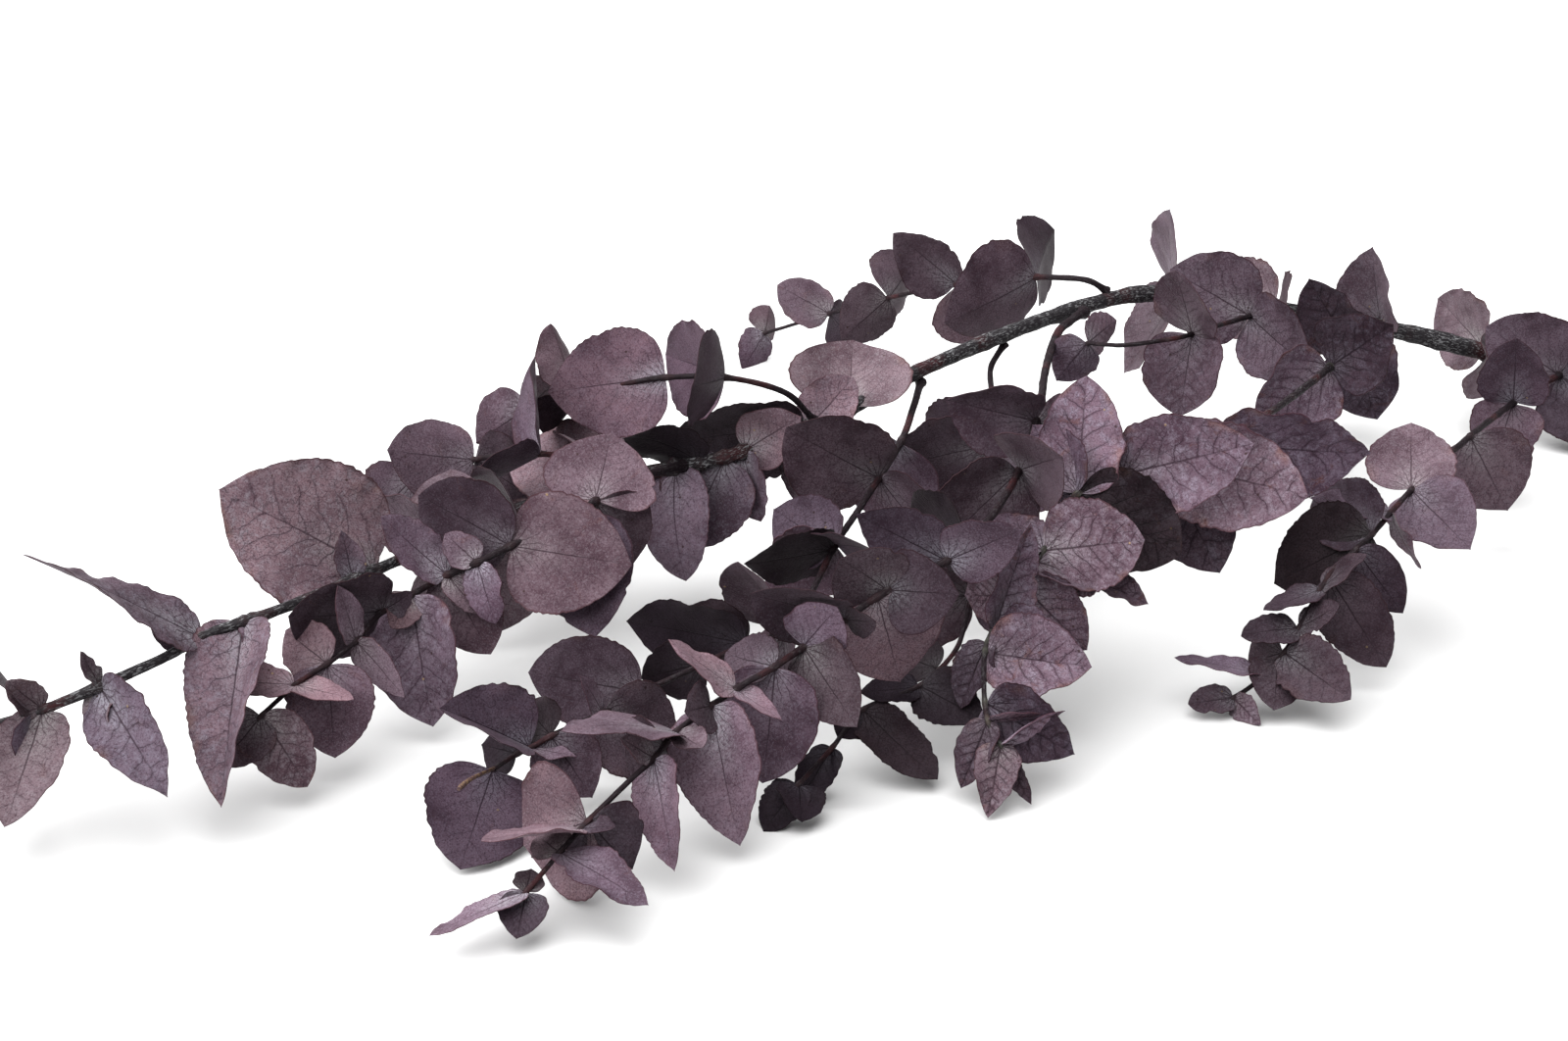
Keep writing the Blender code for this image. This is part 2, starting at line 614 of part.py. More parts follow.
def tube_mesh(line, radii, name):
    """A closed tube along a line and a little past its end, as a mesh object."""
    line = line + [line[-1] + direction(line, len(line) - 1) * TIP_REACH]
    radii = list(radii) + [radii[-1]]
    curve = bpy.data.curves.new(name + "_line", "CURVE")
    curve.dimensions = "3D"
    curve.bevel_depth = 1.0
    curve.bevel_resolution = 1 if radii[0] > ROUND_FROM else 0
    curve.use_fill_caps = True
    spline = curve.splines.new("POLY")
    spline.points.add(len(line) - 1)
    for point, spot, radius in zip(spline.points, line, radii):
        point.co = (*spot, 1)
        point.radius = radius
    holder = bpy.data.objects.new(name + "_line", curve)
    bpy.context.scene.collection.objects.link(holder)
    graph = bpy.context.evaluated_depsgraph_get()
    mesh = bpy.data.meshes.new_from_object(holder.evaluated_get(graph))
    work = bmesh.new()
    work.from_mesh(mesh)
    bmesh.ops.remove_doubles(work, verts=work.verts, dist=WELD)
    bmesh.ops.recalc_face_normals(work, faces=work.faces)
    work.to_mesh(mesh)
    work.free()
    tube = bpy.data.objects.new(name, mesh)
    tube.matrix_world = holder.matrix_world
    bpy.data.objects.remove(holder)
    return tube


def mesh_object(points, faces, name):
    """An object from corners and triangles."""
    mesh = bpy.data.meshes.new(name)
    mesh.from_pydata([tuple(p) for p in points], [], [tuple(int(i) for i in f) for f in faces])
    mesh.update()
    return bpy.data.objects.new(name, mesh)


def shoot_lines(shoots):
    """The line and the radii of each shoot: a side shoot starts just clear of the main stem."""
    lines = {}
    for shoot in shoots:
        line = smooth_line([place(*point) for point in shoot.route], TWIG_STEP)
        count = len(line) - 1
        share = [index / count for index in range(count + 1)]
        radii = [shoot.root_radius + (shoot.tip_radius - shoot.root_radius) * s for s in share]
        if shoot.name == MAIN.name:
            swollen = [NODE_SWELLING * (index % NODE_EVERY == 1) for index in range(count + 1)]
            radii = [radius * (1 + swelling) for radius, swelling in zip(radii, swollen)]
        else:
            line, radii = seated(line, radii, *lines[MAIN.name])
        lines[shoot.name] = (line, radii)
    return lines


def seated(line, radii, stem, stem_radii):
    """A shoot's line cut back to where the rim of its end stands CLEARANCE off the stem's bark."""

    def gap(point):
        gaps = []
        for index, (start, end) in enumerate(zip(stem, stem[1:])):
            span = end - start
            share = min(max((point - start).dot(span) / span.length_squared, 0), 1)
            thickness = max(stem_radii[index], stem_radii[index + 1])
            gaps.append((point - start.lerp(end, share)).length - thickness)
        return min(gaps)

    spans = [(start, end - start) for start, end in zip(stem, stem[1:])]
    on_axis = [
        start + span * min(max((line[0] - start).dot(span) / span.length_squared, 0), 1)
        for start, span in spans
    ]
    line = [min(on_axis, key=lambda point: (point - line[0]).length)] + line[1:]
    fine = smooth_line(line[:SEAT_POINTS], SEAT_STEP)
    for index in range(len(fine) - 1):
        way = direction(fine, index)
        across = way.orthogonal().normalized()
        other = way.cross(across)
        rim = [
            fine[index] + (across * math.cos(turn) + other * math.sin(turn)) * radii[0]
            for turn in (2 * math.pi * k / RIM_POINTS for k in range(RIM_POINTS))
        ]
        if min(gap(point) for point in rim) > CLEARANCE:
            break
    reach = (fine[index] - line[0]).length
    rest = [k for k in range(1, len(line)) if (line[k] - line[0]).length > reach + TWIG_STEP / 3]
    return [fine[index]] + [line[k] for k in rest], [radii[0]] + [radii[k] for k in rest]


def blades_of(shoot, line, radii):
    """The leaves of one shoot: those that are set by hand, then the pairs that are set by rule."""
    chance = random.Random(SEED + SHOOTS.index(shoot))
    blades = []
    for leaf in shoot.leaves:
        root, radius = nearest(line, radii, leaf.base)
        along = (tip_of(root, leaf) - root).normalized()
        facing = (EYE - root).normalized()
        facing = (facing - along * facing.dot(along)).normalized()
        roll = math.radians(leaf.roll)
        normal = facing * math.cos(roll) + along.cross(facing) * math.sin(roll)
        root = root + along * radius * ROOT_SHARE
        blades.append((Blade(root, along, normal, leaf, chance), True))
    for run in shoot.runs:
        for pair in range(run.pairs):
            part = pair / max(run.pairs - 1, 1)
            where = (run.start + (run.end - run.start) * part) * (len(line) - 1)
            index = min(int(where), len(line) - 2)
            root = line[index].lerp(line[index + 1], where - index)
            heading = direction(line, index)
            level = heading.cross(Vector((0, 0, 1))).normalized()
            raised = level.cross(heading)
            turn = math.radians(run.turn + 90 * pair + chance.uniform(-TURN_DRAW, TURN_DRAW))
            for side in (0, math.pi):
                spread = math.radians(chance.uniform(*SPREAD_RANGE))
                out = level * math.cos(turn + side) + raised * math.sin(turn + side)
                along = heading * math.cos(spread) + out * math.sin(spread)
                size = (run.first + (run.last - run.first) * part) * chance.uniform(*SIZE_RANGE)
                width = chance.uniform(*WIDTH_RANGE)
                cup = chance.uniform(*CUP_RANGE)
                leaf = Leaf(None, None, size, width, 0, False, cup, chance.uniform(*FOLD_RANGE))
                normal = heading + Vector([chance.uniform(-TILT_DRAW, TILT_DRAW) for _ in range(3)])
                start = root + along * radii[index] * ROOT_SHARE
                blades.append((Blade(start, along, normal, leaf, chance), False))
    return blades


def settle(shoots, lines):
    """Every leaf bent clear of the surface and of the other shoots, as {shoot name: blades}."""
    taken = []
    for shoot in shoots:
        line, radii = lines[shoot.name]
        tube = tube_mesh(line, [r + CLEARANCE for r in radii], "clear")
        corners = np.array([v.co[:] for v in tube.data.vertices])
        tree = BVHTree.FromPolygons(corners.tolist(), [tuple(p.vertices) for p in tube.data.polygons])
        bpy.data.objects.remove(tube)
        taken.append((shoot.name, None, corners.min(0), corners.max(0), tree))
    waiting = []
    for shoot in shoots:
        for blade, by_hand in blades_of(shoot, *lines[shoot.name]):
            waiting.append((not by_hand, shoot.name, blade))
    waiting.sort(key=lambda item: item[0])
    kept = {shoot.name: [] for shoot in shoots}
    for by_rule, name, blade in waiting:
        best = None
        for share in SHORTER:
            for yaw, pitch in SWINGS:
                trial = blade.turned(yaw, pitch, share)
                blocked, own, cost, found = crossings(trial, name, taken)
                cost += math.hypot(yaw, pitch) + (1 - share) * SHORT_COST
                if not blocked and (best is None or cost < best[0]):
                    best = (cost, trial, found, own)
            if best and best[3] == 0:
                break
        if best is None or (by_rule and best[3] > 0):
            continue
        kept[name].append(best[1])
        corners, tree = best[2]
        taken.append((name, best[1].root, corners.min(0), corners.max(0), tree))
    return kept


def crossings(blade, name, taken):
    """How often a leaf crosses other shoots or the surface, and how often its own shoot's leaves."""
    points, faces = blade_mesh(blade, BLADE_THICKNESS + 2 * CLEARANCE)
    grid = blade.surface(np.array((0.2, 0.5, 0.5, 0.5, 0.8, 1.0)), np.array((0, -1.0, 0, 1.0, 0, 0)))
    if grid[:, 2].min() < -FOOT_DEPTH:
        return True, 0, 0, None
    low, high = points.min(0), points.max(0)
    tree = BVHTree.FromPolygons(points.tolist(), faces.tolist())
    own, cost = 0, 0
    for other, root, other_low, other_high, other_tree in taken:
        if (other_low > high).any() or (other_high < low).any():
            continue
        if other == name and root is None:
            continue
        if tree.overlap(other_tree):
            if other != name:
                return True, 0, 0, None
            partner = (root - blade.root).length < PAIR_REACH
            own += not partner
            cost += PAIR_COST if partner else CROSSING_COST
    return False, own, cost, (points, tree)


def drop_scraps(mesh):
    """Leaves only the largest connected piece of a mesh."""
    work = bmesh.new()
    work.from_mesh(mesh)
    waiting = set(work.verts)
    pieces = []
    while waiting:
        piece, edge = set(), {waiting.pop()}
        while edge:
            piece |= edge
            edge = {e.other_vert(v) for v in edge for e in v.link_edges} - piece
        waiting -= piece
        pieces.append(piece)
    pieces.sort(key=len)
    for piece in pieces[:-1]:
        bmesh.ops.delete(work, geom=list(piece), context="VERTS")
    work.to_mesh(mesh)
    work.free()


def leaf_material(shoot):
    """The shoot's own material: a matt dyed leaf."""
    material = bpy.data.materials.new(shoot.name)
    material.use_nodes = True
    shader = material.node_tree.nodes["Principled BSDF"]
    shader.inputs["Base Color"].default_value = (*shoot.colour, 1)
    shader.inputs["Roughness"].default_value = LEAF_ROUGHNESS
    shader.inputs["Metallic"].default_value = 0.0
    return material


def build_node(shoot, line, radii, blades, home):
    """The twig and its leaves joined into one closed solid."""
    twig = tube_mesh(line, radii, shoot.name)
    home.objects.link(twig)
    leaves = bpy.data.collections.new(shoot.name + "_leaves")
    bpy.context.scene.collection.children.link(leaves)
    for blade in blades:
        leaves.objects.link(mesh_object(*blade_mesh(blade, BLADE_THICKNESS), "leaf"))
    union = twig.modifiers.new("leaves", "BOOLEAN")
    union.operation = "UNION"
    union.operand_type = "COLLECTION"
    union.collection = leaves
    union.solver = "MANIFOLD"
    graph = bpy.context.evaluated_depsgraph_get()
    joined = bpy.data.meshes.new_from_object(twig.evaluated_get(graph))
    twig.modifiers.clear()
    drop_scraps(joined)
    joined.shade_smooth()
    joined.set_sharp_from_angle(angle=SHARP_ANGLE)
    joined.materials.clear()
    joined.materials.append(leaf_material(shoot))
    twig.data = joined
    for leaf in list(leaves.objects):
        bpy.data.objects.remove(leaf)
    bpy.data.collections.remove(leaves)
    return twig


def build():
    """The whole stem, one object for the main stem and one for each side shoot."""
    for obj in list(bpy.data.objects):
        bpy.data.objects.remove(obj)
    home = bpy.data.collections.new("preserved_eucalyptus_stem")
    bpy.context.scene.collection.children.link(home)
    lines = shoot_lines(SHOOTS)
    kept = settle(SHOOTS, lines)
    for shoot in SHOOTS:
        build_node(shoot, *lines[shoot.name], kept[shoot.name], home)


build()
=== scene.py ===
"""The looks of a dyed and preserved eucalyptus stem, laid down on a pale surface.

The rules that set the solids' twigs and leaves are repeated here, and each leaf and twig is made finer.
"""

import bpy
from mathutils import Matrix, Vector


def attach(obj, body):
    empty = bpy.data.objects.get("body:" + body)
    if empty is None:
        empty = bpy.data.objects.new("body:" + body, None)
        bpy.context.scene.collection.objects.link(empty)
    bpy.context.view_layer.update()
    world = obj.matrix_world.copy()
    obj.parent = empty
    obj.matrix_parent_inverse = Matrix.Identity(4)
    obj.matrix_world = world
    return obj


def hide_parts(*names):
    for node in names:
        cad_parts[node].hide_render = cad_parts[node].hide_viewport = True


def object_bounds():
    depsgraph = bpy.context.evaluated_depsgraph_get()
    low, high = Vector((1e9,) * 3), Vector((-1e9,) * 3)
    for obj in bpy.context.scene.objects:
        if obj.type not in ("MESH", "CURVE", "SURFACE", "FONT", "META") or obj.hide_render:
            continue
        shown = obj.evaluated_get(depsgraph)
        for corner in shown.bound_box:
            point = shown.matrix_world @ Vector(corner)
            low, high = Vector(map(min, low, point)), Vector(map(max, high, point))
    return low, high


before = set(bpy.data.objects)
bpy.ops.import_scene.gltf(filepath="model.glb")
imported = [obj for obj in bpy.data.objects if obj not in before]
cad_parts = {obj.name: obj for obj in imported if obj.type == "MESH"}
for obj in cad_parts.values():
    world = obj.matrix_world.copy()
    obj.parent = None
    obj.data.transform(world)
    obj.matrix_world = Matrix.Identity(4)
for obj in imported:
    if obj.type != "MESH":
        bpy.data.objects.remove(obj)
cad_low, cad_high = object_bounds()

import copy
import math
import random
from collections import namedtuple

import bpy
import numpy as np
from mathutils import Vector
from mathutils.bvhtree import BVHTree

MM = 0.001

# Seeds: one for all, and what it is multiplied by for each kind of draw
SEED = 11
SET_LEAVES = 1
FINE_LEAVES = 100
FINE_TWIGS = 200

# Driving sizes
BLADE_THICKNESS = 0.7 * MM
BUTT_RADIUS = 3.5 * MM
LEADER_TIP_RADIUS = 1.1 * MM
SIDE_TIP_RADIUS = 0.65 * MM
TIP_REACH = 1.6 * MM
NODE_SWELLING = 0.17
NODE_EVERY = 3

# Gaps and steps
CLEARANCE = 0.3 * MM
FOOT_DEPTH = 1.2 * MM
TWIG_STEP = 14 * MM
SEAT_STEP = 0.1 * MM
SEAT_POINTS = 5
RIM_POINTS = 8
THICK_FROM = 2 * MM
THICK_SIDES = 6
THIN_SIDES = 4

# Where a coarse blade has its points: from edge to edge, and along it for leaves of three sizes
ACROSS = (-1.0, 0.0, 1.0)
LONG_LEAF = 37 * MM
SHORT_LEAF = 18.5 * MM
LONG_CUTS = (0.18, 0.42, 0.68, 0.88)
MIDDLE_CUTS = (0.23, 0.55, 0.84)
SHORT_CUTS = (0.34, 0.78)

# Where the stem was measured from: a pixel of the photograph and a height give a place.
# The eye stands so that the origin is the middle of the finished stem's footprint.
EYE = Vector((-0.0480, -0.87324, 0.375))
EYE_TILT = math.radians(22)
PIXELS_PER_UNIT = 2986.0
MIDDLE_X, MIDDLE_Y = 800.0, 531.0
RIGHT = Vector((1, 0, 0))
UP = Vector((0, math.sin(EYE_TILT), math.cos(EYE_TILT)))
FORWARD = Vector((0, math.cos(EYE_TILT), -math.sin(EYE_TILT)))
NEAREST_SHARES = (0, 0.25, 0.5, 0.75, 1)

# Shape of a leaf: how pointed the tip is, how far the base curls round the twig, and how the
# width is spread along the length
POINT_SHARE = 0.05
POINT_POWER = 9
LOBE_SHARE = 0.05
BROAD_LOBE = 0.22
LOBE_SPREAD = 1.8
BASE_ROUNDNESS = 0.39
TWIST_CENTRE = 0.3
SIDE_SHIFT = 1.3
ROOT_SHARE = 0.4

# What is drawn at random for each leaf
CUP_DRAW = 0.08
CURL_DRAW = 0.25
TWIST_DRAW = 0.15
WAVE_RANGE = (0.01, 0.035)
WAVES_RANGE = (1.2, 2.2)
LEAST_CURL = 0.01
LOBE_RANGE = (0.4, 1.4)
TIP_SHARPNESS_RANGE = (0.52, 0.76)

# What is drawn at random for a leaf that is set by rule
TURN_DRAW = 20
SPREAD_RANGE = (58, 78)
SIZE_RANGE = (0.85, 1.1)
WIDTH_RANGE = (0.8, 1.05)
CUP_RANGE = (0.05, 0.3)
FOLD_RANGE = (0, 0.2)
TILT_DRAW = 0.3

# How a leaf is bent clear of the others: swings in degrees, lengths, and what each thing costs
PAIR_REACH = 3 * MM
CROSSING_COST = 24
PAIR_COST = 8
SHORT_COST = 60
SHORTER = (1.0, 0.88, 0.76)
SWING_WAYS = 8
SWING_STAGGER = 3
SWINGS = [(0, 0)] + [
    (round(angle * math.cos(way)), round(angle * math.sin(way)))
    for angle in (7, 14, 21, 30)
    for way in [math.radians(360 / SWING_WAYS * k + angle * SWING_STAGGER) for k in range(SWING_WAYS)]
]

# Where a leaf is probed for how deep it reaches, along it and across it
PROBE = np.array([(0.2, 0), (0.5, -1), (0.5, 0), (0.5, 1), (0.8, 0), (1, 0)]).T

# A leaf's length is in millimetres, its width is a share of that, its roll is in degrees, and the rest
# is how it is cupped, folded, curled and twisted.
Leaf = namedtuple("Leaf", "length width roll cup fold curl twist", defaults=(0.95, 0, 0.15, 0.0, 0.0, 0.0))
# A run is a stretch of pairs set by rule: first and last share of the route, number of pairs,
# first and last leaf length in millimetres, and the turn of the first pair in degrees.
Run = namedtuple("Run", "start end pairs first last turn")

# A route's points are pixel x, pixel y and height in millimetres. A joint is its pixel x and y, and then
# the
# leaves there that are listed one by one: the pixel x and y of the tip, the length, below zero where the
# tip lies farther from the eye than the joint, the tone from 0, the darkest, to 4, which holds painted
# shade and painted light as well as the leaf's dye, and the rest of a Leaf.
Shoot = namedtuple("Shoot", "name root_radius tip_radius route joints runs")

MAIN = Shoot("main_stem", BUTT_RADIUS, LEADER_TIP_RADIUS, [
    (1800, 425, 3.7), (1700, 405, 8), (1600, 380, 17), (1400, 332, 42), (1236, 306, 60), (1161, 300, 65),
    (1066, 326, 68), (945, 375, 66), (850, 425, 60), (740, 466, 52), (640, 486, 46), (540, 516, 43),
    (450, 552, 43), (360, 592, 45), (279, 624, 46), (204, 651, 44), (163, 673, 42), (102, 700, 38),
    (44, 724, 34), (0, 738, 31), (-70, 757, 25), (-130, 770, 19), (-180, 782, 14),
], [
    (868, 424, (870, 349, -27, 3, 1.45, 0, 0.3, 0.1)),
    (824, 437, (683, 446, -42, 1, 0.85, -45, 0.25), (881, 406, 21, 4, 0.85),
        (826, 523, 27, 1, 0.6, 30, 0.1, 0.5)),
    (762, 470, (821, 428, 24, 4, 0.8), (777, 534, 22, 3, 0.75, 35, 0.1, 0.4)),
    (740, 470, (712, 563, -32, 2, 0.95, 10)), (720, 475, (638, 448, 30, 0, 0.75, -55, 0.1, 0.0, 0.8)),
    (690, 478, (700, 592, 36, 3, 0.66, 25, 0.0, 0.0, -0.9)), (640, 490, (520, 466, -42, 4, 0.9, 40)),
    (450, 552, (460, 480, -30, 2, 0.9, -30)), (556, 512, (505, 662, -41, 2, 0.6)),
    (385, 585, (225, 500, 50, 3, 0.9, 12, 0.3), (332, 538, 18, 2, 0.55, 20)),
    (360, 592, (348, 541, 14, 2, 0.7, 30)), (262, 630, (252, 660, 10, 3, 0.7)),
    (250, 636, (226, 822, 58, 2, 0.42, 30, 0.1, 0.5, 0.0, 0.5)),
    (204, 655, (40, 559, 56, 2, 0.36, 60, 0.0, 0.1, 0.0, 0.9)), (190, 658, (155, 640, 12, 1, 0.7, 20)),
    (102, 700, (170, 812, 42, 2, 0.46, 25, 0.0, 0.3, 0.0, -0.8), (83, 666, 11, 2, 0.5, 40)),
    (104, 699, (100, 762, 17, 2, 0.6, 40)), (40, 725, (5, 842, 38, 2, 0.52, 15)),
    (43, 724, (8, 696, 14, 2, 0.7, 10)),
], [Run(0.16, 0.33, 4, 32, 32, 10), Run(0.56, 0.74, 5, 34, 30, 30), Run(0.93, 1.0, 3, 20, 13, 40)])

FRONT = Shoot("front_shoot", 1.5 * MM, SIDE_TIP_RADIUS, [
    (1120, 312, 67), (1084, 334, 69), (1068, 372, 71), (1060, 420, 72), (1040, 480, 70), (1005, 535, 66),
    (966, 572, 60), (906, 602, 54), (862, 632, 48), (820, 660, 43), (791, 680, 41), (759, 698, 39),
    (726, 720, 36), (690, 747, 33), (667, 774, 30), (646, 793, 28), (600, 838, 22), (571, 870, 18),
    (537, 910, 12),
], [
    (966, 572, (1042, 541, 24, 2, 0.8, 20), (872, 524, -28, 1, 0.75, -20)),
    (985, 556, (930, 520, -26, 0, 1.0, -50)),
    (906, 602, (858, 571, 18, 1, 1.35, -25), (978, 606, 21, 1, 1.15, 10)),
    (892, 612, (928, 675, -32, 3, 1.05)),
    (862, 630, (767, 606, 29, 1, 0.85, -50, 0.25), (893, 634, 12, 1, 0.9, 40)),
    (822, 658, (874, 741, 28, 1, 0.75, 20), (848, 610, 17, 3, 1.1)),
    (791, 680, (778, 798, -33, 2, 0.85, 15), (741, 667, -18, 1, 0.9, 20)),
    (752, 703, (683, 653, 23, 4, 0.75, 66), (797, 734, 15, 4, 0.8, -66)),
    (727, 719, (755, 862, 38, 3, 0.66, 20, 0.2, 0.2), (699, 726, 13, 1, 1.1)),
    (690, 747, (573, 746, 33, 2, 0.8, 76, 0.05, 0.0, -0.4), (722, 752, 13, 2, 0.8, -60)),
    (680, 759, (640, 786, -22, 1, 1.0, 10)),
    (669, 775, (688, 888, 31, 3, 0.6, 45), (648, 747, 12, 2, 0.6, 50)),
    (600, 842, (535, 862, -26, 3, 1.45, 0, 0.2)), (604, 838, (645, 886, -18, 1, 1.3)),
    (596, 844, (492, 858, 28, 4, 0.7, 80), (627, 844, 11, 1, 0.7, -60)),
    (571, 868, (661, 923, 30, 3, 0.5, -48, 0.2, 0.0, 0.0, 0.6), (545, 850, -14, 2, 0.8, 20)),
    (537, 910, (439, 954, 27, 4, 0.4, 66), (527, 957, 13, 1, 1.0, 10)),
    (540, 906, (542, 887, -9, 1, 0.9)),
], [Run(0.30, 0.40, 2, 32, 32, 30)])

SECOND = Shoot("second_shoot", 1.2 * MM, SIDE_TIP_RADIUS, [
    (940, 378, 62), (924, 440, 58), (886, 505, 52), (850, 560, 44), (815, 630, 36), (787, 650, 33),
    (762, 657, 32), (690, 690, 29), (655, 706, 27), (614, 727, 25), (562, 751, 22), (545, 761, 20),
    (528, 769, 18), (503, 785, 16),
], [
    (885, 437, (878, 519, -32, 2, 1.15)),
    (850, 560, (790, 520, -26, 1, 0.9), (760, 575, 30, 0, 0.7, -45)),
    (762, 657, (640, 634, -36, 0, 0.75, -40), (700, 622, -22, 0, 0.85, -30)),
    (720, 676, (655, 692, -20, 0, 0.9, -20)), (655, 706, (540, 686, -34, 1, 0.85, -20)),
    (614, 727, (690, 772, -28, 1, 1.0, -10, 0.2, 0.2), (592, 690, 15, 2, 0.5, 50)),
    (560, 752, (533, 717, -15, 0, 1.1, -20), (606, 804, -20, 1, 1.0)),
    (540, 763, (449, 723, 28, 1, 0.8, 45, 0.1, 0.7), (588, 772, 13, 2, 0.6, -60)),
    (530, 768, (492, 760, -13, 0, 1.1)), (503, 785, (464, 904, 34, 1, 0.92)),
], [Run(0.22, 0.50, 3, 32, 30, 60)])

LEFT = Shoot("left_shoot", 1.4 * MM, SIDE_TIP_RADIUS, [
    (700, 475, 49), (650, 488, 55), (585, 525, 58), (521, 557, 52), (487, 574, 48), (456, 587, 44),
    (420, 607, 40), (391, 623, 38), (363, 654, 36), (334, 677, 33), (301, 699, 30), (267, 730, 25),
], [
    (608, 513, (624, 443, -22, 3, 1.55, 0, 0.1)), (609, 512, (645, 575, -26, 2, 1.0)),
    (585, 525, (607, 650, -36, 2, 0.85)), (522, 560, (645, 577, 35, 3, 1.02, 0, 0.12)),
    (519, 557, (428, 506, -31, 1, 0.92, -20, 0.2)),
    (487, 574, (454, 545, -12, 3, 0.9), (506, 637, 18, 3, 0.65, 20)),
    (455, 587, (402, 510, 26, 3, 0.6, 35), (491, 622, 14, 3, 0.75, -35)),
    (456, 589, (512, 655, -26, 2, 0.85, 10)),
    (424, 606, (442, 742, 38, 3, 0.72, 20, 0.2, 0.25), (400, 640, 12, 2, 0.9)),
    (391, 623, (279, 614, 32, 1, 0.95, -35), (420, 604, 10, 1, 0.9, 30)),
    (364, 653, (344, 593, 18, 3, 0.6, 45), (412, 711, 21, 3, 0.55, 40)),
    (334, 677, (342, 773, -26, 2), (290, 650, -18, 2, 0.9)),
    (299, 699, (237, 663, 21, 4, 0.72, 60), (360, 713, 18, 4, 0.7, -60)),
    (267, 729, (317, 808, 23, 2, 0.78, 10, 0.2), (219, 788, 18, 1, 0.9)),
], [])

DROOPING = Shoot("drooping_shoot", 1.5 * MM, SIDE_TIP_RADIUS, [
    (1400, 334, 47), (1360, 372, 57), (1300, 418, 66), (1240, 450, 70), (1180, 474, 70), (1143, 485, 69),
    (1099, 504, 67), (1090, 524, 62), (1065, 562, 52), (1035, 608, 42), (1008, 655, 34), (1004, 700, 27),
    (1008, 735, 21), (1021, 760, 16),
], [
    (1240, 450, (1398, 462, -48, 3, 0.68, 30, 0.1, 0.25)), (1190, 470, (1334, 506, 44, 3, 0.72, 0, 0.2)),
    (1143, 485, (1279, 453, 42, 3, 0.68, 0, 0.1, 0.1)),
    (1099, 504, (1109, 384, -36, 3, 0.68, 0, 0.15, 0.1), (1010, 455, -30, 2, 0.9, -20),
        (1200, 570, -34, 0, 0.85)),
    (1190, 470, (1245, 585, -36, 1, 0.8)),
    (1065, 562, (1167, 551, 32, 3, 0.88), (996, 534, -22, 2, 0.7, 40, 0.0, 0.5)),
    (1040, 600, (1110, 664, -26, 2, 0.8, 10)), (1060, 570, (1171, 616, -34, 2, 0.5, -40, 0.1, 0.4)),
    (1035, 608, (984, 615, -18, 2, 0.9)),
    (1013, 645, (1052, 533, 32, 2, 0.5, 40, 0.0, 0.5), (1092, 660, 23, 2, 0.8, -10)),
    (1008, 668, (1118, 669, 30, 3, 0.8, -15, 0.1, 0.3)),
    (1008, 655, (981, 722, 20, 1, 0.62, 30, 0.0, 0.5)),
    (1006, 715, (1101, 772, -28, 1, 0.75, 10, 0.1, 0.3)),
    (1008, 735, (978, 808, 20, 1, 0.6, 20, 0.0, 0.3)), (1008, 738, (1065, 729, 15, 4, 0.5, 65)),
    (1021, 760, (1007, 840, 21, 2, 0.6, 0, 0.0, 0.3), (1052, 820, 18, 1, 0.4, 20, 0.0, 0.3)),
    (1021, 758, (1093, 722, 20, 4, 0.4, 60, 0.0, 0.4, 0.5)),
], [Run(0.12, 0.22, 2, 28, 30, 50)])

RIGHT_END = Shoot("right_shoot", 1.3 * MM, SIDE_TIP_RADIUS, [
    (1600, 378, 21), (1560, 400, 30), (1500, 445, 40), (1440, 500, 44), (1400, 545, 42), (1356, 588, 35),
    (1325, 641, 22), (1310, 666, 16), (1283, 695, 9), (1259, 712, 5),
], [
    (1500, 445, (1538, 520, -34, 2)), (1440, 500, (1500, 560, 30, 2, 0.9, -20), (1440, 432, -28, 3, 1.0)),
    (1420, 523, (1337, 508, 26, 2, 0.6, 60), (1450, 580, 19, 4, 0.5, 66)),
    (1400, 545, (1300, 575, -34, 0, 0.9), (1345, 500, -26, 1, 0.9)),
    (1385, 560, (1431, 625, -24, 1, 0.7, 10)), (1356, 590, (1414, 680, -32, 1, 0.66, 10)),
    (1350, 600, (1290, 622, 19, 1, 0.7, 62), (1394, 566, 17, 1, 0.7, -62)),
    (1325, 641, (1267, 649, 18, 1, 0.75, 45), (1366, 617, 15, 1, 0.75, -45)),
    (1310, 666, (1412, 672, 31, 1, 0.7, -25, 0.1, 0.3), (1274, 676, -16, 1, 1.0)),
    (1306, 671, (1300, 724, 18, 1, 1.0, -20)), (1290, 690, (1199, 671, 27, 4, 0.5, 72)),
    (1290, 694, (1349, 696, 17, 2, 0.5, -60)),
    (1259, 712, (1213, 718, 14, 1, 0.75, 30), (1286, 739, 12, 3, 0.7, 20)),
], [Run(0.04, 0.24, 2, 34, 34, 20)])

UNDER = Shoot("under_shoot", 1.0 * MM, SIDE_TIP_RADIUS, [
    (1010, 348, 62), (1012, 400, 56), (1012, 440, 52), (1008, 500, 45), (1000, 560, 37), (986, 630, 28),
    (974, 665, 24), (938, 700, 20), (880, 724, 17), (850, 762, 13), (815, 800, 9),
], [
    (1012, 425, (960, 480, -34, 2, 1.0), (1060, 480, -32, 2, 0.9)),
    (938, 700, (878, 706, 18, 0, 0.6, 40), (1000, 725, 22, 0, 0.8, -20)),
    (955, 687, (908, 662, -20, 0, 0.8, 20)),
    (880, 724, (972, 780, 30, 0, 0.58, -35), (855, 752, 14, 0, 0.9)),
    (848, 764, (812, 824, 20, 0, 0.6, 30)),
    (815, 800, (818, 838, 14, 0, 1.0, -20), (764, 845, 17, 0, 0.8, 30)),
], [Run(0.30, 0.62, 3, 34, 28, 0)])

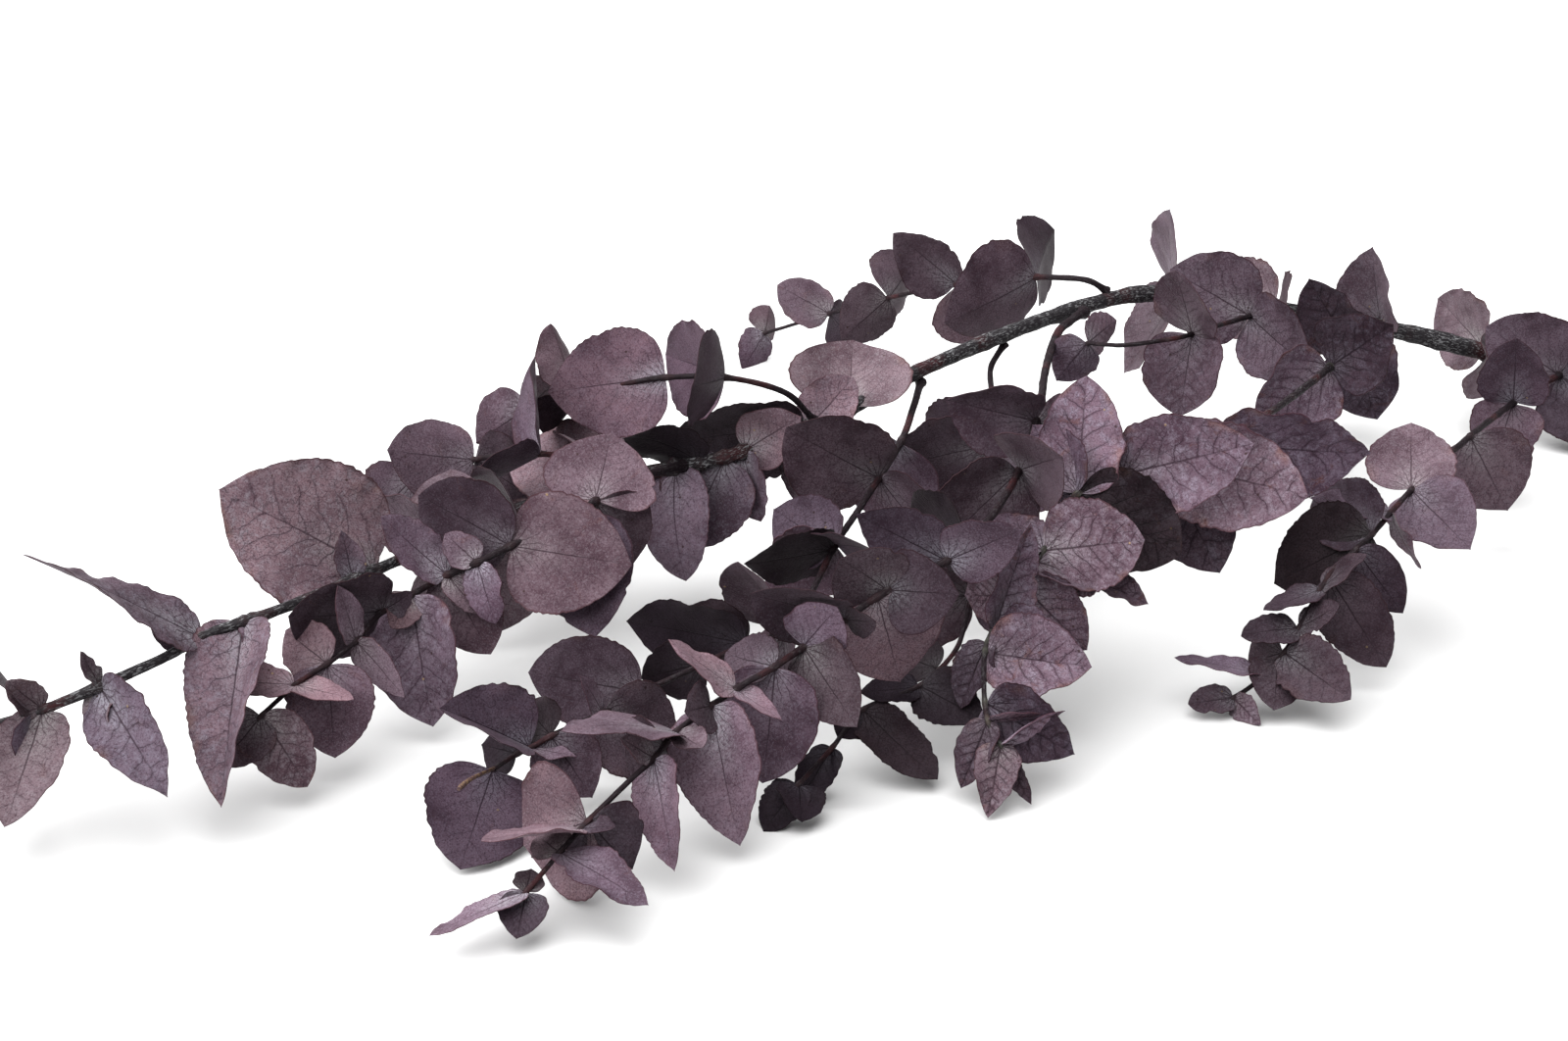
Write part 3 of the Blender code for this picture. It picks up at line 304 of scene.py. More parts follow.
MIDDLE_BACK = Shoot("middle_back_shoot", 1.0 * MM, SIDE_TIP_RADIUS, [
    (850, 425, 65), (800, 400, 74), (740, 385, 80), (680, 385, 80), (620, 395, 74), (575, 405, 66),
    (540, 415, 58),
], [
    (680, 385, (560, 400, -40, 2, 0.85)),
], [Run(0.25, 1.0, 5, 34, 20, 0)])

LEFT_BACK = Shoot("left_back_shoot", 1.0 * MM, SIDE_TIP_RADIUS, [
    (640, 486, 50), (600, 470, 56), (540, 462, 56), (480, 470, 48), (420, 488, 36), (370, 505, 24),
    (330, 520, 14),
], [], [Run(0.18, 1.0, 5, 32, 18, 45)])

RIGHT_BACK = Shoot("right_back_shoot", 1.0 * MM, SIDE_TIP_RADIUS, [
    (1300, 315, 60), (1250, 330, 72), (1200, 345, 78), (1150, 352, 78), (1110, 350, 72),
], [], [Run(0.2, 1.0, 3, 30, 20, 10)])

FAR_BACK = Shoot("far_back_shoot", 1.1 * MM, SIDE_TIP_RADIUS, [
    (1161, 298, 70), (1110, 286, 74), (1040, 283, 70), (960, 293, 56), (890, 308, 38), (830, 325, 22),
    (780, 340, 11),
], [], [Run(0.18, 1.0, 5, 34, 18, 30)])

BACK = [MIDDLE_BACK, LEFT_BACK, RIGHT_BACK, FAR_BACK]
SHOOTS = [MAIN, FRONT, SECOND, LEFT, DROOPING, RIGHT_END, UNDER] + BACK


def draws(shoot, kind):
    """Random draws of one kind for one shoot, the same each run."""
    return random.Random(SEED * kind + SHOOTS.index(shoot))


def sight(x, y):
    """The direction from the eye through a pixel of the photograph."""
    across = (x - MIDDLE_X) / PIXELS_PER_UNIT
    down = (y - MIDDLE_Y) / PIXELS_PER_UNIT
    return (FORWARD + RIGHT * across - UP * down).normalized()


def place(x, y, height):
    """The point at this height, in millimetres, that the photograph shows at a pixel."""
    ray = sight(x, y)
    return EYE + ray * ((height * MM - EYE.z) / ray.z)


def pixel(point):
    """Where the photograph shows a point."""
    ray = point - EYE
    depth = ray.dot(FORWARD)
    x = MIDDLE_X + PIXELS_PER_UNIT * ray.dot(RIGHT) / depth
    return x, MIDDLE_Y - PIXELS_PER_UNIT * ray.dot(UP) / depth


def smooth_line(points, step):
    """A line through the points, as a Catmull-Rom curve read at about equal steps."""
    ends = [points[0] * 2 - points[1]] + list(points) + [points[-1] * 2 - points[-2]]
    line = []
    for before, start, end, after in zip(ends, ends[1:], ends[2:], ends[3:]):
        rise = end - before
        bend = before * 2 - start * 5 + end * 4 - after
        turn = start * 3 - before - end * 3 + after
        count = max(1, round((end - start).length / step))
        for t in (index / count for index in range(count)):
            line.append((start * 2 + rise * t + bend * t**2 + turn * t**3) * 0.5)
    return line + [points[-1]]


def direction(line, index):
    """The way a line runs at one of its points."""
    return (line[min(index + 1, len(line) - 1)] - line[max(index - 1, 0)]).normalized()


def square_to(vector, axis):
    """The part of a vector at a right angle to an axis, made one long."""
    return (vector - axis * vector.dot(axis)).normalized()


def foot(point, start, end):
    """The point of a straight piece of line that is nearest to another point."""
    span = end - start
    return start + span * min(max((point - start).dot(span) / span.length_squared, 0), 1)


def nearest(line, radii, target):
    """The point of the line that the photograph shows closest to a pixel, and its radius."""
    spots = [
        (start.lerp(end, share), radius)
        for start, end, radius in zip(line, line[1:], radii)
        for share in NEAREST_SHARES
    ]
    return min(spots, key=lambda spot: math.dist(pixel(spot[0]), target))


def leaf_rows(shoot):
    """The leaves of a shoot that are listed one by one, as (joint, tip, length, tone, the rest)."""
    return [((x, y), row[:2], *row[2:]) for x, y, *rows in shoot.joints for row in rows]


def tip_of(root, tip, leaf, away):
    """Where the tip of a leaf is, from its pixel and the leaf's length, but not below the surface."""
    ray = sight(*tip)
    chord = leaf.length * MM
    if abs(leaf.curl) > LEAST_CURL:
        chord *= math.sin(leaf.curl / 2) / (leaf.curl / 2)
    back = root - EYE
    along = ray.dot(back)
    miss = (back - ray * along).length
    reach = math.sqrt(max(chord**2 - miss**2, 0))
    tip = EYE + ray * (along + (reach if away else -reach))
    return tip if tip.z >= 0 else EYE - ray * (EYE.z / ray.z)


class Blade:
    """One leaf: a frame at its root and the numbers that bend its middle surface."""

    def __init__(self, root, along, normal, leaf, chance):
        self.root = root
        self.along = along.normalized()
        self.normal = square_to(normal, self.along)
        self.length = leaf.length * MM
        self.half = leaf.length * leaf.width * MM / 2
        self.cup = leaf.cup + chance.uniform(-CUP_DRAW, CUP_DRAW)
        self.fold = leaf.fold
        self.curl = leaf.curl if leaf.curl else chance.uniform(-CURL_DRAW, CURL_DRAW)
        self.twist = leaf.twist + chance.uniform(-TWIST_DRAW, TWIST_DRAW)
        self.wave = chance.uniform(*WAVE_RANGE)
        self.waves = chance.uniform(*WAVES_RANGE)
        self.phase = chance.uniform(0, 2 * math.pi)
        self.lobe = LOBE_SHARE * chance.uniform(*LOBE_RANGE) + BROAD_LOBE * max(leaf.width - 1, 0)
        self.sharpness = chance.uniform(*TIP_SHARPNESS_RANGE)

    def turned(self, yaw, pitch, share):
        """The same leaf swung about its root, in degrees, and made shorter by a share."""
        other = copy.copy(self)
        side = self.normal.cross(self.along) * math.tan(math.radians(yaw))
        other.along = (self.along + side + self.normal * math.tan(math.radians(pitch))).normalized()
        other.normal = square_to(self.normal, other.along)
        other.length = self.length * share
        other.half = self.half * share
        return other

    def surface(self, t, v):
        """Points of the middle surface: t runs from root to tip, and v from edge to edge, -1 to 1."""
        angle = math.pi * t
        middle = (1 - np.cos(angle)) / 2
        widest = BASE_ROUNDNESS / (BASE_ROUNDNESS + self.sharpness)
        spread = (middle / widest) ** BASE_ROUNDNESS
        spread = spread * (np.maximum(1 - middle, 0) / (1 - widest)) ** self.sharpness
        edge = middle - self.lobe * np.sin(angle) * (1 - t) ** 2 * LOBE_SPREAD
        point = POINT_SHARE * t**POINT_POWER
        edge = edge * (1 - POINT_SHARE) + point
        middle = middle * (1 - POINT_SHARE) + point
        x = middle * (1 - abs(v)) + edge * abs(v)
        y = spread * v
        z = self.cup * y**2 + self.fold * abs(y)
        ripple = np.sin(2 * math.pi * self.waves * t + self.phase + SIDE_SHIFT * np.sign(v))
        z = z * self.half + self.wave * self.length * ripple * v**2 * np.sin(angle)
        y = y * self.half
        turn = self.twist * (x - TWIST_CENTRE)
        y, z = y * np.cos(turn) - z * np.sin(turn), y * np.sin(turn) + z * np.cos(turn)
        bend = self.curl * (x - 0.5)
        radius = self.length / self.curl
        start = -0.5 * self.curl
        x = radius * (np.sin(bend) - math.sin(start)) - z * np.sin(bend)
        z = radius * (math.cos(start) - np.cos(bend)) + z * np.cos(bend)
        axes = (self.along, self.normal.cross(self.along), self.normal)
        ahead, aside, up = (np.multiply.outer(part, np.array(axis)) for part, axis in zip((x, y, z), axes))
        return ahead + aside + up + np.array(self.root)

    def slab(self, thickness):
        """Corners and triangles of a closed slab about the middle surface, three points wide."""
        cuts = SHORT_CUTS
        if self.length > SHORT_LEAF:
            cuts = LONG_CUTS if self.length > LONG_LEAF else MIDDLE_CUTS
        wide = len(ACROSS)
        grid = self.surface(*np.meshgrid(cuts, ACROSS, indexing="ij")).reshape(-1, 3)
        middle = np.vstack([grid, self.surface(np.array((0.0, 1.0)), np.zeros(2))])
        middle[:, 2] = np.maximum(middle[:, 2], thickness / 2)
        count = len(middle)
        root, tip = count - 2, count - 1
        faces = [(root, 0, 1), (root, 1, 2)]
        for left in range(0, root - wide, wide):
            below = left + wide
            faces += [(left, below, left + 1), (left + 1, below, below + 1)]
            faces += [(left + 1, below + 1, below + 2), (left + 1, below + 2, left + 2)]
        faces = np.array(faces + [(root - wide, tip, root - 2), (root - 2, tip, root - 1)])
        first, second, third = middle[faces].transpose(1, 0, 2)
        flat = np.cross(second - first, third - first)
        normals = np.zeros_like(middle)
        for corner in range(3):
            np.add.at(normals, faces[:, corner], flat)
        normals = unit(normals)
        points = np.vstack([middle + normals * thickness / 2, middle - normals * thickness / 2])
        points[:, 2] = np.maximum(points[:, 2], 0)
        rim = [root, *range(0, root, wide), tip, *range(root - 1, 0, -wide)]
        sides = []
        for start, end in zip(rim, rim[1:] + rim[:1]):
            sides += [(start, end + count, end), (start, start + count, end + count)]
        return points, np.vstack([faces, faces[:, ::-1] + count, sides])


def box_and_tree(points, faces):
    """A mesh's lowest and highest corner, and the tree that finds what crosses it."""
    return points.min(0), points.max(0), BVHTree.FromPolygons(points.tolist(), faces)


def tube(line, radii):
    """The box and tree of a closed tube along a line and a little past its end."""
    line = line + [line[-1] + direction(line, len(line) - 1) * TIP_REACH]
    sides = THICK_SIDES if radii[0] > THICK_FROM else THIN_SIDES
    widths = np.repeat(np.array(radii + radii[-1:])[:, None], sides, 1)
    rings = rings_of(np.array(line), widths).reshape(-1, 3)
    return box_and_tree(rings, tube_faces(len(line), sides).tolist())


def shoot_lines():
    """The line and the radii of each shoot: a side shoot starts just clear of the main stem."""
    lines = {}
    for shoot in SHOOTS:
        line = smooth_line([place(*point) for point in shoot.route], TWIG_STEP)
        shares = [index / (len(line) - 1) for index in range(len(line))]
        radii = [shoot.root_radius + (shoot.tip_radius - shoot.root_radius) * share for share in shares]
        if shoot is MAIN:
            radii = [r * (1 + NODE_SWELLING * (k % NODE_EVERY == 1)) for k, r in enumerate(radii)]
        else:
            line, radii = seated(line, radii, *lines[MAIN.name])
        lines[shoot.name] = (line, radii)
    return lines


def seated(line, radii, stem, stem_radii):
    """A shoot's line cut back to where the rim of its end stands CLEARANCE off the stem's bark."""
    spans = list(zip(zip(stem, stem[1:]), map(max, stem_radii, stem_radii[1:])))
    on_axis = [foot(line[0], *ends) for ends, _ in spans]
    line = [min(on_axis, key=lambda point: (point - line[0]).length)] + line[1:]
    fine = smooth_line(line[:SEAT_POINTS], SEAT_STEP)
    for index in range(len(fine) - 1):
        way = direction(fine, index)
        across = way.orthogonal().normalized()
        other = way.cross(across)
        gaps = []
        for turn in turns(RIM_POINTS):
            point = fine[index] + (across * math.cos(turn) + other * math.sin(turn)) * radii[0]
            gaps += [(point - foot(point, *ends)).length - thickness for ends, thickness in spans]
        if min(gaps) > CLEARANCE:
            break
    reach = (fine[index] - line[0]).length + TWIG_STEP / 3
    rest = [k for k in range(1, len(line)) if (line[k] - line[0]).length > reach]
    return [fine[index]] + [line[k] for k in rest], [radii[0]] + [radii[k] for k in rest]


def hand_set(row, line, radii, chance):
    """A leaf whose place was read from the photograph."""
    joint, tip, length, _, *shape = row
    leaf = Leaf(abs(length), *shape)
    root, radius = nearest(line, radii, joint)
    along = (tip_of(root, tip, leaf, length < 0) - root).normalized()
    facing = square_to((EYE - root).normalized(), along)
    roll = math.radians(leaf.roll)
    normal = facing * math.cos(roll) + along.cross(facing) * math.sin(roll)
    return Blade(root + along * radius * ROOT_SHARE, along, normal, leaf, chance)


def rule_set(run, pair, line, radii, chance):
    """The two leaves of one pair of a run, a right angle round from the pair before."""
    part = pair / max(run.pairs - 1, 1)
    where = (run.start + (run.end - run.start) * part) * (len(line) - 1)
    index = min(int(where), len(line) - 2)
    root = line[index].lerp(line[index + 1], where - index)
    heading = direction(line, index)
    level = heading.cross(Vector((0, 0, 1))).normalized()
    raised = level.cross(heading)
    turn = math.radians(run.turn + 90 * pair + chance.uniform(-TURN_DRAW, TURN_DRAW))
    blades = []
    for side in (turn, turn + math.pi):
        spread = math.radians(chance.uniform(*SPREAD_RANGE))
        out = level * math.cos(side) + raised * math.sin(side)
        along = heading * math.cos(spread) + out * math.sin(spread)
        size = (run.first + (run.last - run.first) * part) * chance.uniform(*SIZE_RANGE)
        width = chance.uniform(*WIDTH_RANGE)
        cup = chance.uniform(*CUP_RANGE)
        leaf = Leaf(size, width, cup=cup, fold=chance.uniform(*FOLD_RANGE))
        normal = heading + Vector([chance.uniform(-TILT_DRAW, TILT_DRAW) for _ in range(3)])
        blades.append(Blade(root + along * radii[index] * ROOT_SHARE, along, normal, leaf, chance))
    return blades


def settle(lines):
    """Every leaf bent clear of the surface and of the other shoots, as {shoot name: blades}."""
    taken = []
    by_hand = []
    by_rule = []
    for shoot in SHOOTS:
        line, radii = lines[shoot.name]
        chance = draws(shoot, SET_LEAVES)
        taken.append((shoot.name, None, tube(line, [radius + CLEARANCE for radius in radii])))
        by_hand += [(shoot.name, hand_set(row, line, radii, chance)) for row in leaf_rows(shoot)]
        for run in shoot.runs:
            for pair in range(run.pairs):
                by_rule += [(shoot.name, blade) for blade in rule_set(run, pair, line, radii, chance)]
    kept = {name: [] for name in lines}
    for index, (name, blade) in enumerate(by_hand + by_rule):
        best = None
        for share in SHORTER:
            for yaw, pitch in SWINGS:
                trial = blade.turned(yaw, pitch, share)
                body, own, cost = crossings(trial, name, taken)
                cost += math.hypot(yaw, pitch) + (1 - share) * SHORT_COST
                if body and (best is None or cost < best[0]):
                    best = (cost, own, trial, body)
            if best and best[1] == 0:
                break
        if best and (best[1] == 0 or index < len(by_hand)):
            kept[name].append(best[2])
            taken.append((name, best[2].root, best[3]))
    return kept


def crossings(blade, name, taken):
    """A leaf's body, its crossings with its own shoot's leaves, and the cost; no body if it is blocked."""
    if blade.surface(*PROBE)[:, 2].min() < -FOOT_DEPTH:
        return None, 0, 0
    points, faces = blade.slab(BLADE_THICKNESS + 2 * CLEARANCE)
    low, high, tree = box_and_tree(points, faces.tolist())
    own = 0
    cost = 0
    for other, root, (other_low, other_high, other_tree) in taken:
        own_twig = other == name and root is None
        apart = (other_low > high).any() or (other_high < low).any()
        if own_twig or apart or not tree.overlap(other_tree):
            continue
        if other != name:
            return None, 0, 0
        if (root - blade.root).length < PAIR_REACH:
            cost += PAIR_COST
        else:
            own += 1
            cost += CROSSING_COST
    return (low, high, tree), own, cost


# Fineness of the leaves and twigs
ROW_STEP = 1.15 * MM
COLUMN_STEP = 1.3 * MM
HIDDEN_STEP = 1.5
RIM_SPLIT = 3
ROWS_BETWEEN = (14, 46)
COLUMNS_BETWEEN = (4, 16)
MID_SPACING = 0.6
END_SHARE = 0.0012
SHARP_ANGLE = math.radians(40)
LEAST_HEIGHT = 0.25 * MM
LOW_SHARE = 0.2
TWIG_FINE_STEP = 1.6 * MM
STEM_SIDES = 16
TWIG_SIDES = 10

# Form of the twigs: their end, the joints where leaves sit, the collar at the foot, and the bark
END_TAPER = 0.6
JOINT_FROM = 4 * MM
JOINT_REACH = 1.5 * MM
JOINT_SWELLING = 0.32
COLLAR_REACH = 1.6 * MM
COLLAR_SWELLING = 0.7
BARK_RELIEF = 0.06
BARK_PITCHES = (3 * MM, 14 * MM)
BARK_WAVES = 6
BARK_STRETCH = 3

# The dried stalk of a lost leaf: pixels and heights in millimetres, and radii
STUB_ROUTE = [(504, 784, 17), (492, 789, 19), (480, 795, 20), (471, 802, 20), (468, 805, 20)]
STUB_RADII = [0.5 * MM, 0.5 * MM, 0.6 * MM, 0.8 * MM, 0.5 * MM]

# Relief of a leaf: its thickness, and the teeth, bites and waves of its edge. The waves of either
# edge are read EDGE_SHIFT leaf lengths away from the middle, so that the two edges differ. A power
# says how close to the edge or the tip a form keeps.
LEAF_THICKNESS = 0.36 * MM
RIM_TAPER = 0.45
RIM_TAPER_POWER = 4
TIP_TAPER = 0.6
TIP_TAPER_POWER = 0.3
EDGE_SHIFT = 3
TOOTH_DEPTH = 0.24 * MM
TOOTH_PITCHES = (1.4 * MM, 3.8 * MM)
TOOTH_WAVES = 5
TOOTH_POWER = 8
BITE_DEPTHS = (0.4 * MM, 1.3 * MM)
BITE_WIDTH = 0.9 * MM
BITE_POWER = 1.5
BITE_CHANCES = (0, 0, 1, 2)
BITE_PLACES = (0.25, 0.95)
RIPPLE_DEPTH = 0.17 * MM
RIPPLE_PITCHES = (5 * MM, 17 * MM)
RIPPLE_WAVES = 7
RIM_WAVE_DEPTH = 0.45 * MM
RIM_WAVE_PITCHES = (6 * MM, 14 * MM)
RIM_WAVES = 3
RIM_WAVE_POWER = 3
GROOVE_DEPTH = 0.10 * MM
GROOVE_WIDTH = 0.40 * MM

# Veins: how many pitches fit along a leaf, how far they slant, and how far one side's lie ahead
VEINS_ALONG = 6.0
VEIN_SLANT = 0.70
VEIN_STAGGER = 0.43
FAN_SPACING = math.radians(19)

# The picture
PHOTO_WIDTH = 1600
SENSOR_WIDTH = 36
FLOOR_SIZE = 9.0
FLOOR_COLOUR = (0.56, 0.56, 0.56)
WORLD_STRENGTH = 0.40
SUN_STRENGTH = 9.2
SUN_WAY = (-0.46, -0.16, 0.87)
SUN_WIDTH = math.radians(92)

# Colours, linear
LEAF_DARK = (0.050, 0.029, 0.040)
LEAF_MIDDLE = (0.124, 0.090, 0.112)
LEAF_ROSY = (0.172, 0.104, 0.118)
LEAF_BROWN = (0.105, 0.046, 0.038)
LEAF_RUST = (0.150, 0.072, 0.046)
# Pale colour near the leaf base, partly waxy bloom and partly a painted highlight
LEAF_BLOOM_AND_HIGHLIGHT = (0.300, 0.290, 0.300)
LEAF_SILVER = (0.222, 0.200, 0.230)
VEIN = (0.030, 0.018, 0.024)
RIM = (0.048, 0.020, 0.024)
DOT_TAN = (0.230, 0.165, 0.105)
DOT_DARK = (0.035, 0.020, 0.018)
SHEEN_TINT = (1.0, 0.80, 0.88)
BARK_DARK = (0.017, 0.015, 0.017)
BARK_RED = (0.034, 0.012, 0.014)
BARK_GREY = (0.190, 0.190, 0.197)
BARK_JOINT = (0.030, 0.018, 0.020)
BARK_GREEN = (0.070, 0.072, 0.056)
PURPLE_TWIG = (0.012, 0.008, 0.010)
STUB_BROWN = (0.100, 0.056, 0.026)
WOOD_DARK = (0.30, 0.19, 0.11)
WOOD_PALE = (0.44, 0.31, 0.19)
PITH = (0.16, 0.08, 0.05)

# How each shoot's leaves differ: their tint, and how mottled, brown in blotches and wrinkled they are
Look = namedtuple("Look", "tint mottled brown wrinkle", defaults=((0.81, 0.765, 0.82), 0.18, 0.22, 1.0))
LOOKS = {
    "main_stem": Look((0.865, 0.865, 0.885), mottled=0.35, wrinkle=1.4),
    "front_shoot": Look((0.80, 0.785, 0.82)),
    "second_shoot": Look((0.81, 0.765, 0.84)),
    "left_shoot": Look((0.85, 0.81, 0.85), brown=0.35),
    "drooping_shoot": Look((0.76, 0.70, 0.755), mottled=1.0, brown=0.85, wrinkle=2.0),
    "right_shoot": Look((0.74, 0.71, 0.75), mottled=0.30, wrinkle=1.2),
    "under_shoot": Look((0.79, 0.745, 0.82)),
    "right_back_shoot": Look(mottled=0.5),
}

# How light or dark each step of leaf is, with painted shade at the dark steps and painted light at the
# pale steps as well as the leaf's own dye, and leaves that are rosier or more veined, by the pixel of
# their tip
DYE_AND_PAINTED_LIGHT_TONES = (0.17, 0.48, 0.83, 1.07, 1.38)
TONE_DRAW = (0.94, 1.08)
OTHER_TONES = (0.35, 1.08)
# Leaves made rosier, partly from their dye and partly as painted light on leaves that face up
ROSY_AND_LIT = {
    (225, 500), (332, 538), (348, 541), (290, 650), (400, 640), (928, 675), (821, 428), (881, 406),
    (520, 466), (492, 858), (237, 663), (360, 713), (535, 862), (560, 400), (226, 822), (683, 653),
    (797, 734), (1065, 729), (688, 888),
}
ROSY_SHARE = 0.75
ROSY_DRAW = (0.0, 0.35)
VEINED = {(225, 500), (442, 742), (317, 808), (1286, 739), (170, 812), (40, 559), (226, 822)}
VEINED_SHARE = 0.75


def waves_sum(x, y, chance, pitches, count):
    """A smooth uneven field of about -1 to 1, made of sine waves that run every way."""
    total = np.zeros(np.broadcast(x, y).shape)
    for _ in range(count):
        pitch = chance.uniform(*pitches)
        way = chance.uniform(0, 2 * math.pi)
        phase = chance.uniform(0, 2 * math.pi)
        total += np.sin((x * math.cos(way) + y * math.sin(way)) * 2 * math.pi / pitch + phase)
    return total / math.sqrt(count)


def unit(vectors):
    """The vectors along the last axis, each made one long."""
    return vectors / np.maximum(np.linalg.norm(vectors, axis=-1, keepdims=True), 1e-12)


def surface_normal(grid):
    """The way each point of a grid faces."""
    return unit(np.cross(np.gradient(grid, axis=0), np.gradient(grid, axis=1)))


def leaf_tone_and_painted_light(look, tip, tone_and_painted_light, chance):
    """How light or dark one leaf is, with painted shade and painted light on the listed leaves as well as
    their dye, and how rosy and how mottled it is.
    """
    dye_and_painted_light = chance.uniform(*OTHER_TONES)
    if tip:
        dye_and_painted_light = DYE_AND_PAINTED_LIGHT_TONES[tone_and_painted_light] * chance.uniform(*TONE_DRAW)
    rosy = ROSY_SHARE if tip in ROSY_AND_LIT else chance.uniform(*ROSY_DRAW)
    mottled = VEINED_SHARE if tip in VEINED else look.mottled
    return dye_and_painted_light, rosy, mottled


def fine_leaf(blade, chance, wrinkle, coarseness):
    """Points, triangles, places and shares of one thin leaf with a toothed and waved edge."""
    rows = int(np.clip(round(blade.length / (ROW_STEP * coarseness)), *ROWS_BETWEEN))
    half_columns = int(np.clip(round(blade.half / (COLUMN_STEP * coarseness)), *COLUMNS_BETWEEN))
    down = np.linspace(END_SHARE, 1 - END_SHARE, RIM_SPLIT * (rows - 1) + 1)
    t, v = np.meshgrid(down, np.linspace(-1, 1, 2 * half_columns + 1), indexing="ij")
    v = v * (MID_SPACING + (1 - MID_SPACING) * v**2)
    side = np.abs(v)
    ends = np.sin(math.pi * t)
    middle = blade.surface(t, v)
    spine = middle[:, half_columns : half_columns + 1]
    arm = middle - spine

    along = (1 - np.cos(math.pi * t)) / 2 * blade.length
    edge = along + np.sign(v) * blade.length * EDGE_SHIFT
    teeth = waves_sum(edge, 0, chance, TOOTH_PITCHES, TOOTH_WAVES) * TOOTH_DEPTH
    for _ in range(chance.choice(BITE_CHANCES)):
        spot = blade.length * (chance.choice((-EDGE_SHIFT, EDGE_SHIFT)) + chance.uniform(*BITE_PLACES))
        bite = np.exp(-(np.abs((edge - spot) / BITE_WIDTH) ** BITE_POWER))
        teeth = teeth - bite * chance.uniform(*BITE_DEPTHS)
    middle = middle + arm * (teeth / blade.half * side**TOOTH_POWER)[..., None]

    across = np.linalg.norm(middle - spine, axis=-1) * np.sign(v)
    ripple = waves_sum(along, across, chance, RIPPLE_PITCHES, RIPPLE_WAVES) * RIPPLE_DEPTH * wrinkle
    rim = waves_sum(edge, 0, chance, RIM_WAVE_PITCHES, RIM_WAVES) * RIM_WAVE_DEPTH * wrinkle
    groove = -GROOVE_DEPTH * np.exp(-((across / GROOVE_WIDTH) ** 2)) * np.sqrt(1 - t)
    lift = (ripple * np.sqrt(side) + rim * side**RIM_WAVE_POWER) * ends + groove * ends
    middle = middle + surface_normal(middle) * lift[..., None]
    half_thick = LEAF_THICKNESS / 2 * (1 - RIM_TAPER * side**RIM_TAPER_POWER)
    half_thick = half_thick * (1 - TIP_TAPER + TIP_TAPER * ends**TIP_TAPER_POWER)
    thick = surface_normal(middle) * half_thick[..., None]

    used = np.zeros(t.shape, bool)
    used[::RIM_SPLIT] = True
    used[:, [0, -1]] = True
    count = int(used.sum())
    top = (middle + thick)[used]
    low = (middle - thick)[used]
    top[:, 2] = np.maximum(top[:, 2], LEAST_HEIGHT)
    low[:, 2] = np.maximum(low[:, 2], LEAST_HEIGHT * LOW_SHARE)
    faces, loop = leaf_faces(np.where(used, np.cumsum(used).reshape(used.shape) - 1, -1))
    after = np.roll(loop, -1)
    sides = [np.stack([after, loop, loop + count], -1), np.stack([after, loop + count, after + count], -1)]
    triangles = np.concatenate([faces, faces[:, ::-1] + count] + sides)
    seed = np.full(t.shape, chance.uniform(0, 50))
    places = np.stack([along / MM, across / MM, seed], -1)[used]
    shares = np.stack([t, v, np.full(t.shape, blade.length / MM)], -1)[used]
    return np.concatenate([top, low]), triangles, np.tile(places, (2, 1)), np.tile(shares, (2, 1))


def leaf_faces(number):
    """Triangles of a leaf's numbered points, with a finer outer edge, and the loop of that edge."""
    grid = number[::RIM_SPLIT]
    first, second = grid[:-1, 1:-2], grid[1:, 1:-2]
    third, fourth = grid[1:, 2:-1], grid[:-1, 2:-1]
    halves = ((first, second, third), (first, third, fourth))
    found = [np.stack(half, -1).reshape(-1, 3) for half in halves]
    for edge, inner, order in ((number[:, 0], grid[:, 1], 1), (number[:, -1], grid[:, -2], -1)):
        here, ahead = inner[:-1], inner[1:]
        first, second = edge[:-1:RIM_SPLIT], edge[1::RIM_SPLIT]
        third, fourth = edge[2::RIM_SPLIT], edge[3::RIM_SPLIT]
        inward = ((first, second, here), (second, third, ahead), (third, fourth, ahead))
        found += [np.stack(part, -1)[:, ::order] for part in (*inward, (second, ahead, here))]
    loop = np.concatenate([number[:, 0], number[-1, 1:], number[-2::-1, -1], number[0, -2:0:-1]])
    return np.concatenate(found), loop


def add(name, data):
    """A new object in the scene."""
    made = bpy.data.objects.new(name, data)
    bpy.context.scene.collection.objects.link(made)
    return made


def mesh_piece(name, points, triangles, paint, material):
    """A smooth shaded object from arrays of points and triangles, with its painting coordinates."""
    points = np.clip(points, np.array(cad_low), np.array(cad_high))
    mesh = bpy.data.meshes.new(name)
    mesh.from_pydata(points.tolist(), [], triangles.tolist())
    for title, values in paint.items():
        made = mesh.attributes.new(title, "FLOAT_VECTOR", "POINT")
        made.data.foreach_set("vector", values.astype(np.float32).ravel())
    mesh.validate()
    mesh.shade_smooth()
    mesh.set_sharp_from_angle(angle=SHARP_ANGLE)
    mesh.materials.append(material)
    return add(name, mesh)


